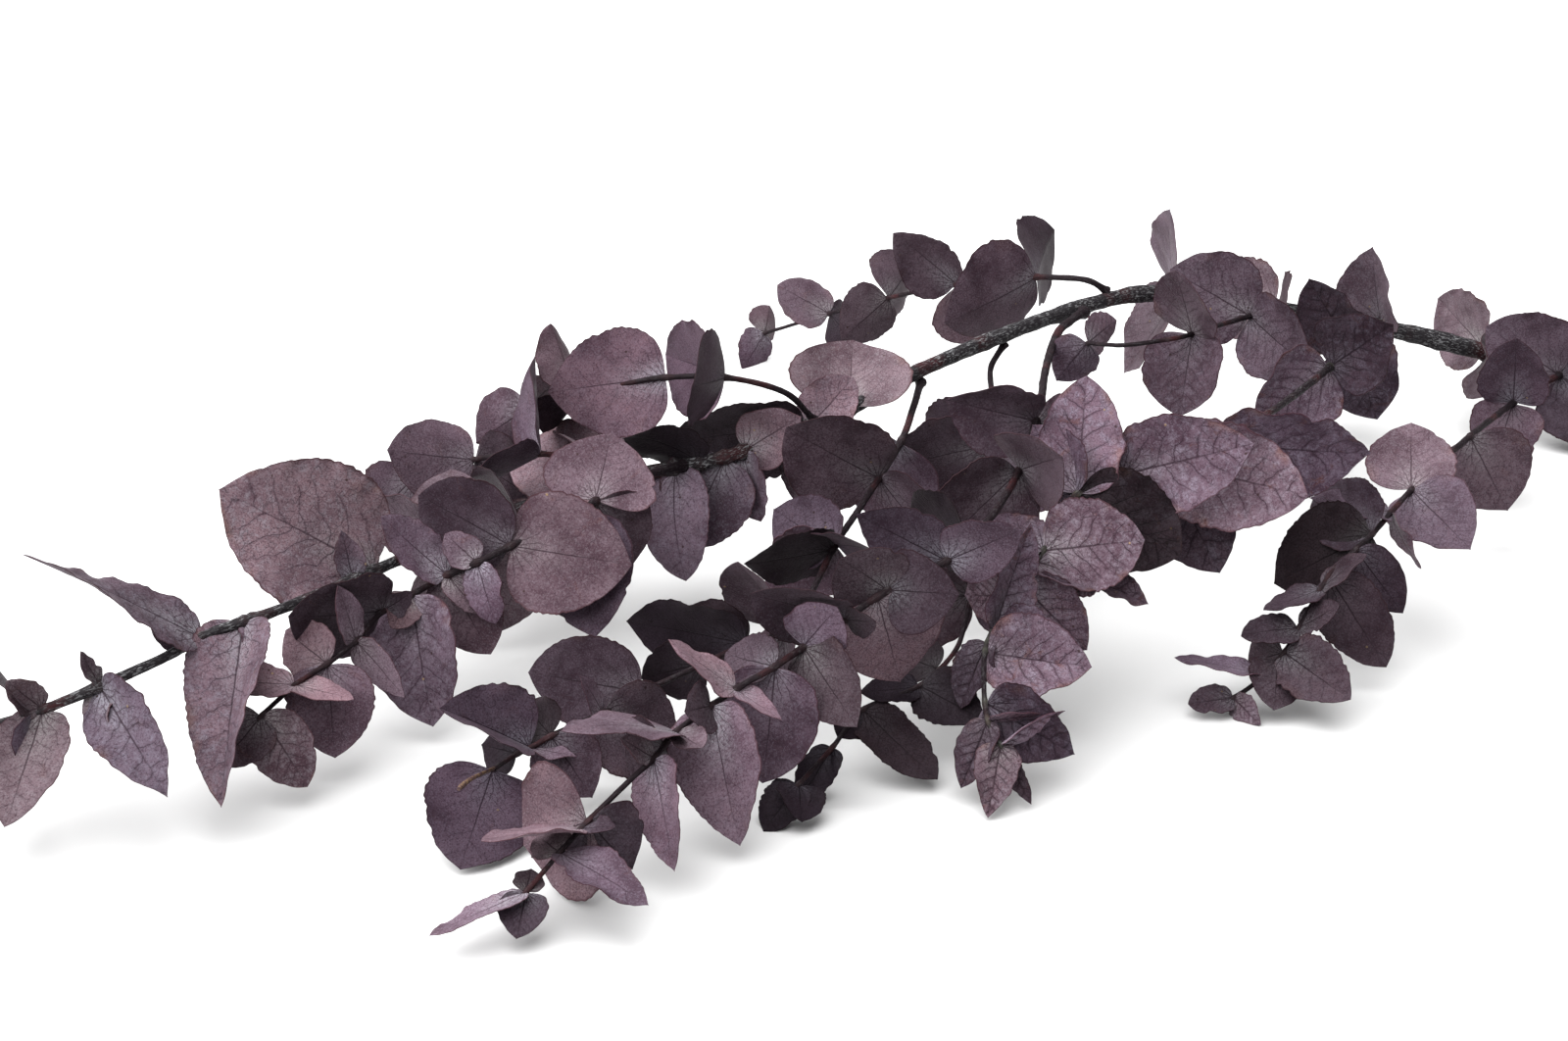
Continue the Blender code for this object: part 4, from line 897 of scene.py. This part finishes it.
def leaves_piece(shoot, blades):
    """All leaves of one shoot as one object; those that are listed one by one are the finest."""
    chance = draws(shoot, FINE_LEAVES)
    look = LOOKS.get(shoot.name, Look())
    rows = leaf_rows(shoot)
    parts = []
    tones_and_painted_light = []
    start = 0
    for index, blade in enumerate(blades):
        _, tip, _, tone_and_painted_light, *_ = rows[index] if index < len(rows) else (None, None, None, None)
        coarseness = 1.0 if tip else HIDDEN_STEP
        points, triangles, *coordinates = fine_leaf(blade, chance, look.wrinkle, coarseness)
        parts.append((points, triangles + start, *coordinates))
        tones_and_painted_light += [leaf_tone_and_painted_light(look, tip, tone_and_painted_light, chance)] * len(points)
        start += len(points)
    points, triangles, places, shares = (np.concatenate(part) for part in zip(*parts))
    paint = {"place": places, "share": shares, "tone_and_painted_light": np.array(tones_and_painted_light)}
    return mesh_piece(shoot.name + "_leaves", points, triangles, paint, leaf_paint(shoot.name, look))


def lengths_along(points):
    """How far along its line each point is."""
    return np.concatenate([[0], np.cumsum(np.linalg.norm(np.diff(points, axis=0), axis=1))])


def fine_line(line, radii):
    """A closely spaced line through a shoot's points, as (points, radii, distance along)."""
    points = np.array(smooth_line(line, TWIG_FINE_STEP))
    far = lengths_along(points)
    coarse_far = lengths_along(np.array(line))
    return points, np.interp(far, coarse_far * far[-1] / coarse_far[-1], radii), far


def turns(sides):
    """The angles of points set evenly round a circle."""
    return np.linspace(0, 2 * math.pi, sides, endpoint=False)


def rings_of(points, widths):
    """Rings of points about a line, with the radius of each point from the line."""
    heading = unit(np.gradient(points, axis=0))
    across = np.zeros_like(points)
    side = np.cross(heading[0], (0.0, 0.0, 1.0))
    for index, way in enumerate(heading):
        side = unit(side - way * side.dot(way))
        across[index] = side
    other = np.cross(heading, across)
    turn = turns(widths.shape[1])[None, :, None]
    out = across[:, None, :] * np.cos(turn) + other[:, None, :] * np.sin(turn)
    rings = points[:, None, :] + widths[..., None] * out
    rings[..., 2] = np.maximum(rings[..., 2], 0)
    return rings


def tube_faces(count, sides):
    """Triangles of a tube of rings; those of the end cap, then of the start cap, come last."""
    index = np.arange(count * sides).reshape(count, sides)
    ahead = np.roll(index, -1, axis=1)
    halves = [(index[:-1], ahead[:-1], ahead[1:]), (index[:-1], ahead[1:], index[1:])]
    around = [np.stack(half, -1).reshape(-1, 3) for half in halves]
    caps = np.array([[0, k, k + 1] for k in range(1, sides - 1)])
    return np.concatenate(around + [index[-1][caps], index[0][caps][:, ::-1]])


def tube_piece(name, points, widths, far, relief, joints, material):
    """A closed tube about a line, with a relief all over it and its joints marked."""
    count, sides = relief.shape
    wide = widths[:, None]
    turn = turns(sides)
    rings = rings_of(points, wide * (1 + relief)).reshape(-1, 3)
    places = np.broadcast_arrays(far[:, None], np.cos(turn) * wide, np.sin(turn) * wide)
    paint = {
        "place": np.stack(places, -1).reshape(-1, 3) / MM,
        "share": np.repeat(joints, sides)[:, None] * (1, 0, 0),
    }
    return mesh_piece(name, rings, tube_faces(count, sides), paint, material)


def twig_piece(shoot, line, radii, blades, material):
    """The bark of one shoot, swollen where its leaves sit, with a closed end at both sides."""
    chance = draws(shoot, FINE_TWIGS)
    first = line[0]
    if shoot is not MAIN:
        first = line[0] - direction(line, 0) * (radii[0] + CLEARANCE)
    last = line[-1] + direction(line, len(line) - 1) * TIP_REACH
    points, widths, far = fine_line([first] + line[1:] + [last], radii + [radii[-1] * END_TAPER])
    joints = np.zeros(len(far))
    for blade in blades:
        away = np.linalg.norm(points - np.array(blade.root), axis=1)
        if away.min() < JOINT_FROM:
            beside = (far - far[away.argmin()]) / JOINT_REACH
            joints = np.maximum(joints, np.exp(-(beside**2)))
    widths = widths * (1 + JOINT_SWELLING * joints)
    if shoot is not MAIN:
        widths = widths * (1 + COLLAR_SWELLING * np.exp(-far / COLLAR_REACH))
    sides = STEM_SIDES if shoot is MAIN else TWIG_SIDES
    around = turns(sides) * widths.mean() * BARK_STRETCH
    relief = BARK_RELIEF * waves_sum(far[:, None], around, chance, BARK_PITCHES, BARK_WAVES)
    piece = tube_piece(shoot.name + "_twig", points, widths, far, relief, joints, material)
    if shoot is MAIN:
        piece.data.materials.append(wood_paint())
        for face in list(piece.data.polygons)[2 - sides :]:
            face.material_index = 1
    return piece


def stub_piece():
    """The short dried stalk that a lost leaf left at the last joint of the second shoot."""
    points, widths, far = fine_line([place(*point) for point in STUB_ROUTE], STUB_RADII)
    relief = np.zeros((len(far), TWIG_SIDES))
    return tube_piece(SECOND.name + "_stub", points, widths, far, relief, np.zeros(len(far)), stub_paint())


class Value:
    """A number, colour or place that a material works out; sums and products of it add nodes."""

    def __init__(self, graph, socket):
        self.graph = graph
        self.socket = socket

    def __add__(self, other):
        return self.graph.math("ADD", self, other)

    def __sub__(self, other):
        return self.graph.math("SUBTRACT", self, other)

    def __mul__(self, other):
        return self.graph.math("MULTIPLY", self, other)

    def __truediv__(self, other):
        return self.graph.math("DIVIDE", self, other)

    def __abs__(self):
        return self.graph.math("ABSOLUTE", self)


class Graph:
    """The nodes of one material."""

    def __init__(self, name):
        self.material = bpy.data.materials.new(name)
        self.material.use_nodes = True
        self.tree = self.material.node_tree

    def new(self, kind):
        return self.tree.nodes.new("ShaderNode" + kind)

    def fill(self, node, values, output=0):
        """Wires or sets a node's inputs, by name or number, and gives one of its outputs."""
        for key, value in values.items():
            socket = node.inputs[key]
            if isinstance(value, Value):
                self.tree.links.new(value.socket, socket)
            else:
                socket.default_value = (*value, 1) if socket.type == "RGBA" else value
        return Value(self, node.outputs[output])

    def cover(self, **values):
        """Wires or sets the inputs of the material's shader, and gives the material."""
        shader = self.tree.nodes["Principled BSDF"]
        self.fill(shader, {name.replace("_", " "): value for name, value in values.items()})
        return self.material

    def math(self, operation, *values):
        node = self.new("Math")
        node.operation = operation
        return self.fill(node, dict(enumerate(values)))

    def attribute(self, name):
        """The three numbers of a painting coordinate, and the whole vector."""
        node = self.new("Attribute")
        node.attribute_name = name
        parts = self.new("SeparateXYZ")
        self.tree.links.new(node.outputs["Vector"], parts.inputs[0])
        return [Value(self, socket) for socket in (*parts.outputs, node.outputs["Vector"])]

    def vector(self, x, y, z):
        return self.fill(self.new("CombineXYZ"), {0: x, 1: y, 2: z})

    def noise(self, where, scale, detail=2.0, rough=0.5, distortion=0.0, output="Fac"):
        values = {"Vector": where, "Scale": scale, "Detail": detail, "Roughness": rough}
        return self.fill(self.new("TexNoise"), {**values, "Distortion": distortion}, output)

    def shifted(self, where, scale, reach):
        """A place moved about by smooth noise, which bends what is drawn from it."""
        node = self.new("VectorMath")
        node.operation = "MULTIPLY_ADD"
        shift = self.noise(where, scale, 1.0, output="Color")
        return self.fill(node, {0: shift, 1: (reach, reach, 0.0), 2: where})

    def cells(self, where, scale, feature="DISTANCE_TO_EDGE"):
        node = self.new("TexVoronoi")
        node.feature = feature
        return self.fill(node, {"Vector": where, "Scale": scale}, "Distance")

    def chance(self, value):
        """A number from 0 to 1 that is the same all over one leaf."""
        node = self.new("TexWhiteNoise")
        node.noise_dimensions = "1D"
        return self.fill(node, {"W": value}, "Value")

    def ease(self, value, low, high, start=0.0, end=1.0):
        """Smoothly from start to end as the value goes from low to high."""
        node = self.new("MapRange")
        node.interpolation_type = "SMOOTHSTEP"
        return self.fill(node, dict(enumerate((value, low, high, start, end))))

    def mix(self, share, first, second, blend="MIX"):
        """The first colour, with a share of the second laid over it."""
        node = self.new("Mix")
        node.data_type = "RGBA"
        node.blend_type = blend
        return self.fill(node, {0: share, 6: first, 7: second}, 2)

    def bump(self, height, strength, distance):
        values = {"Height": height, "Strength": strength, "Distance": distance}
        return self.fill(self.new("Bump"), values)


def leaf_paint(name, look):
    """The dyed leaf, with painted shade and painted light in how light or dark each leaf is, and a painted
    highlight near the base. Places are in millimetres, so the scale of a noise is in turns a millimetre.
    """
    g = Graph(name + "_leaf")
    along, across, seed, spot = g.attribute("place")
    t, v, length, _ = g.attribute("share")
    dye_and_painted_light, rosy, mottled, _ = g.attribute("tone_and_painted_light")
    side = abs(v)
    reach = abs(across)
    own = g.chance(seed + 19.1)
    broad = mottled + 1.0

    # The midrib, the slanting side veins and the dark band beside each of them
    wander = g.noise(spot, 0.16, 1.0) * 1.2 - 0.6
    midrib = g.ease(abs(across + wander * t), broad * (t * -0.17 + 0.33), 0.06)
    midrib = midrib * g.ease(t, 0.95, 0.40, 0.12, 1.0)
    pitch = length / VEINS_ALONG
    start = along - reach * VEIN_SLANT - reach * reach / length
    turn = start / pitch + g.noise(spot, 0.11) * 1.3
    turn = turn + g.math("GREATER_THAN", across, 0.0) * VEIN_STAGGER
    off = abs(g.math("FRACT", turn) - 0.5) * pitch
    fading = g.ease(side, 0.92, 0.35, 0.10, 1.0)
    branches = g.ease(off, broad * 0.17, 0.02) * fading
    halo = g.ease(off, 1.3, 0.1) * fading

    # Thin veins that fan out from the base, and a net of finer ones where it shows
    out = g.math("SQRT", along * along + across * across)
    fan = g.math("ARCTAN2", reach, along) / FAN_SPACING + g.noise(spot, 0.20) * 1.5
    fan = abs(g.math("FRACT", fan) - 0.5) * FAN_SPACING * out
    fan = g.ease(fan, 0.20, 0.03) * g.ease(out / length, 0.55, 0.12)
    bent = g.shifted(spot, 0.35, 1.1)
    parted = g.ease(g.noise(spot, 0.22), 0.36, 0.62, 0.15, 1.0)
    net = g.ease(g.cells(bent, 0.36), 0.070, 0.01) * parted
    fine_net = g.ease(g.cells(bent, 1.0), 0.15, 0.02) * parted

    # Uneven dye, grain, brown blotches, a rusty edge, a pale patch near the base that is partly waxy bloom
    # and partly a painted highlight, dots and flaws
    patches = g.noise(spot, 0.060, 3.0, 0.6)
    grain = g.noise(spot, 1.9, 2.0, 0.85)
    rosy = rosy * g.ease(g.noise(spot, 0.06), 0.30, 0.65, 0.45, 1.0)
    silver = g.ease(g.noise(bent, 0.42, 5.0, 0.72), 0.44, 0.64)
    silver = silver * g.ease(g.noise(spot, 0.09), 0.30, 0.62, 0.35, 1.0)
    blotch = g.ease(g.noise(spot, 0.15, 4.0, 0.7, 0.8), 0.58, 0.72)
    rust = g.ease(side, 0.62, 1.0) * g.ease(g.noise(spot, 0.10), 0.54, 0.68)
    # A pale patch near the base along the midrib, partly the leaf's waxy bloom and partly a painted
    # highlight
    bloom_and_highlight = g.ease(t, 0.60, 0.08) * g.ease(reach, 8.0, 0.5) * (g.chance(seed + 7.3) * 0.9 + 0.35)
    bloom_and_highlight = bloom_and_highlight * g.ease(g.noise(spot, 1.1, 3.0, 0.75), 0.36, 0.60, 0.25, 1.0)
    dots = g.ease(g.cells(spot, 0.085, "F1"), 0.038, 0.026)
    flaws = g.ease(g.cells(g.vector(across, seed, along), 0.13, "F1"), 0.065, 0.035)

    # Each layer of colour, and its share, laid over those before it
    layers = (
        (rosy, LEAF_ROSY),
        (silver * mottled * 0.72, LEAF_SILVER),
        (halo * mottled * 0.50, LEAF_DARK),
        (blotch * look.brown, LEAF_BROWN),
        (rust * (mottled * 0.55 + 0.06), LEAF_RUST),
        (bloom_and_highlight, LEAF_BLOOM_AND_HIGHLIGHT),
        (g.ease(grain, 0.51, 0.66) * 0.80, LEAF_DARK),
        (g.ease(grain, 0.47, 0.36) * 0.30, LEAF_SILVER),
        (net * (mottled * 0.22 + 0.24), VEIN),
        (fine_net * (mottled * 0.12 + 0.16), VEIN),
        (branches * (mottled * 0.38 + 0.30), VEIN),
        (fan * 0.80, VEIN),
        (midrib * 0.85, VEIN),
        (g.ease(side, 0.955, 0.995) * 0.8, RIM),
        (dots, DOT_TAN),
        (flaws * 0.85, DOT_DARK),
    )
    colour = g.mix(g.ease(patches, 0.33, 0.62), LEAF_DARK, LEAF_MIDDLE)
    for share, layer in layers:
        colour = g.mix(share, colour, layer)
    red, green, blue = look.tint
    # Each leaf's step of lightness, painted shade and painted light along with its dye, multiplies the
    # colour; some leaves darken towards the tip
    tone_and_painted_light = dye_and_painted_light * (own * t * -0.42 + 1.10)
    shade = g.vector(tone_and_painted_light * red, tone_and_painted_light * green, tone_and_painted_light * (own * 0.16 + 0.93) * blue)
    height = (branches * 1.2 + net * 0.9) * (mottled * -0.6 - 0.3) - midrib * 0.8 - fine_net * 0.15
    return g.cover(
        Base_Color=g.mix(1.0, colour, shade, "MULTIPLY"),
        Roughness=g.ease(patches, 0.2, 0.8, 0.44, 0.58),
        Specular_IOR_Level=0.04,
        Sheen_Weight=0.035,
        Sheen_Roughness=0.42,
        Sheen_Tint=SHEEN_TINT,
        Normal=g.bump(height + grain * 0.45 + dots * 2.0, strength=0.55, distance=0.2 * MM),
    )


def bark_paint(name, ground, joint_colour, grey):
    """Dark bark, reddish in places, with grey flecks and paler joints."""
    g = Graph(name)
    far, x, y, spot = g.attribute("place")
    joint = g.attribute("share")[0]
    stretched = g.vector(far * 0.30, x, y)
    patches = g.noise(g.vector(far * 0.05, 0.0, 0.0), 1.0)
    flecks = g.ease(g.noise(stretched, 1.9, 3.0, 0.70), 0.51, 0.60)
    flecks = flecks * g.ease(g.noise(spot, 0.12), 0.36, 0.60, 0.30, 1.0)
    dark = g.ease(g.noise(stretched, 0.9, 3.0), 0.5, 0.36)
    colour = g.mix(g.ease(patches, 0.50, 0.66), ground, BARK_RED)
    for share, layer in ((joint * 0.5, joint_colour), (flecks * grey, BARK_GREY), (dark * 0.6, ground)):
        colour = g.mix(share, colour, layer)
    normal = g.bump(flecks * 0.6 + g.noise(stretched, 2.2, 3.0), strength=0.7, distance=0.25 * MM)
    return g.cover(Base_Color=colour, Roughness=0.58, Specular_IOR_Level=0.05, Normal=normal)


def wood_paint():
    """The pale wood of the cut end, with a darker pith."""
    g = Graph("cut_wood")
    _, x, y, spot = g.attribute("place")
    colour = g.mix(g.ease(g.noise(spot, 1.5, 3.0), 0.3, 0.7), WOOD_DARK, WOOD_PALE)
    out = g.math("SQRT", x * x + y * y)
    return g.cover(Base_Color=g.mix(g.ease(out, 0.9, 0.5), colour, PITH), Roughness=0.8)


def stub_paint():
    """A brown dried stalk."""
    g = Graph("dried_stalk")
    spot = g.attribute("place")[3]
    colour = g.mix(g.ease(g.noise(spot, 1.2, 3.0), 0.35, 0.65), STUB_BROWN, BARK_RED)
    return g.cover(Base_Color=colour, Roughness=0.7)


def studio():
    """A plain pale floor, soft light from far away and the camera at the photograph's viewing angle."""
    bpy.ops.mesh.primitive_plane_add(size=FLOOR_SIZE, location=(0, 0, 0))
    floor = bpy.context.object
    floor.name = "floor"
    paint = Graph("floor").cover(Base_Color=FLOOR_COLOUR, Roughness=0.9, Specular_IOR_Level=0.1)
    floor.data.materials.append(paint)
    world = bpy.data.worlds.new("studio")
    world.use_nodes = True
    sky = world.node_tree.nodes["Background"]
    sky.inputs["Color"].default_value = (1, 1, 1, 1)
    sky.inputs["Strength"].default_value = WORLD_STRENGTH
    bpy.context.scene.world = world
    light = bpy.data.lights.new("sun", "SUN")
    light.angle = SUN_WIDTH
    light.energy = SUN_STRENGTH
    add("sun", light).rotation_euler = Vector(SUN_WAY).to_track_quat("Z", "Y").to_euler()
    camera = add("camera", bpy.data.cameras.new("camera"))
    camera.location = EYE
    camera.rotation_euler = (math.radians(90) - EYE_TILT, 0, 0)
    camera.data.sensor_width = SENSOR_WIDTH
    camera.data.lens = SENSOR_WIDTH * PIXELS_PER_UNIT / PHOTO_WIDTH
    camera.data.clip_start = 0.01
    bpy.context.scene.camera = camera
    bpy.context.scene.view_settings.view_transform = "Standard"


def dress():
    """Every shoot's leaves and twig in place of its plain solid."""
    lines = shoot_lines()
    kept = settle(lines)
    plain_bark = bark_paint("twig_bark", PURPLE_TWIG, BARK_JOINT, grey=0.10)
    barks = {
        MAIN.name: bark_paint("stem_bark", BARK_DARK, BARK_JOINT, grey=0.80),
        DROOPING.name: bark_paint("green_twig_bark", PURPLE_TWIG, BARK_GREEN, grey=0.30),
    }
    for shoot in SHOOTS:
        blades = kept[shoot.name]
        bark = barks.get(shoot.name, plain_bark)
        pieces = [leaves_piece(shoot, blades), twig_piece(shoot, *lines[shoot.name], blades, bark)]
        if shoot is SECOND:
            pieces.append(stub_piece())
        for piece in pieces:
            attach(piece, "root")
            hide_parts(shoot.name)


dress()
studio()
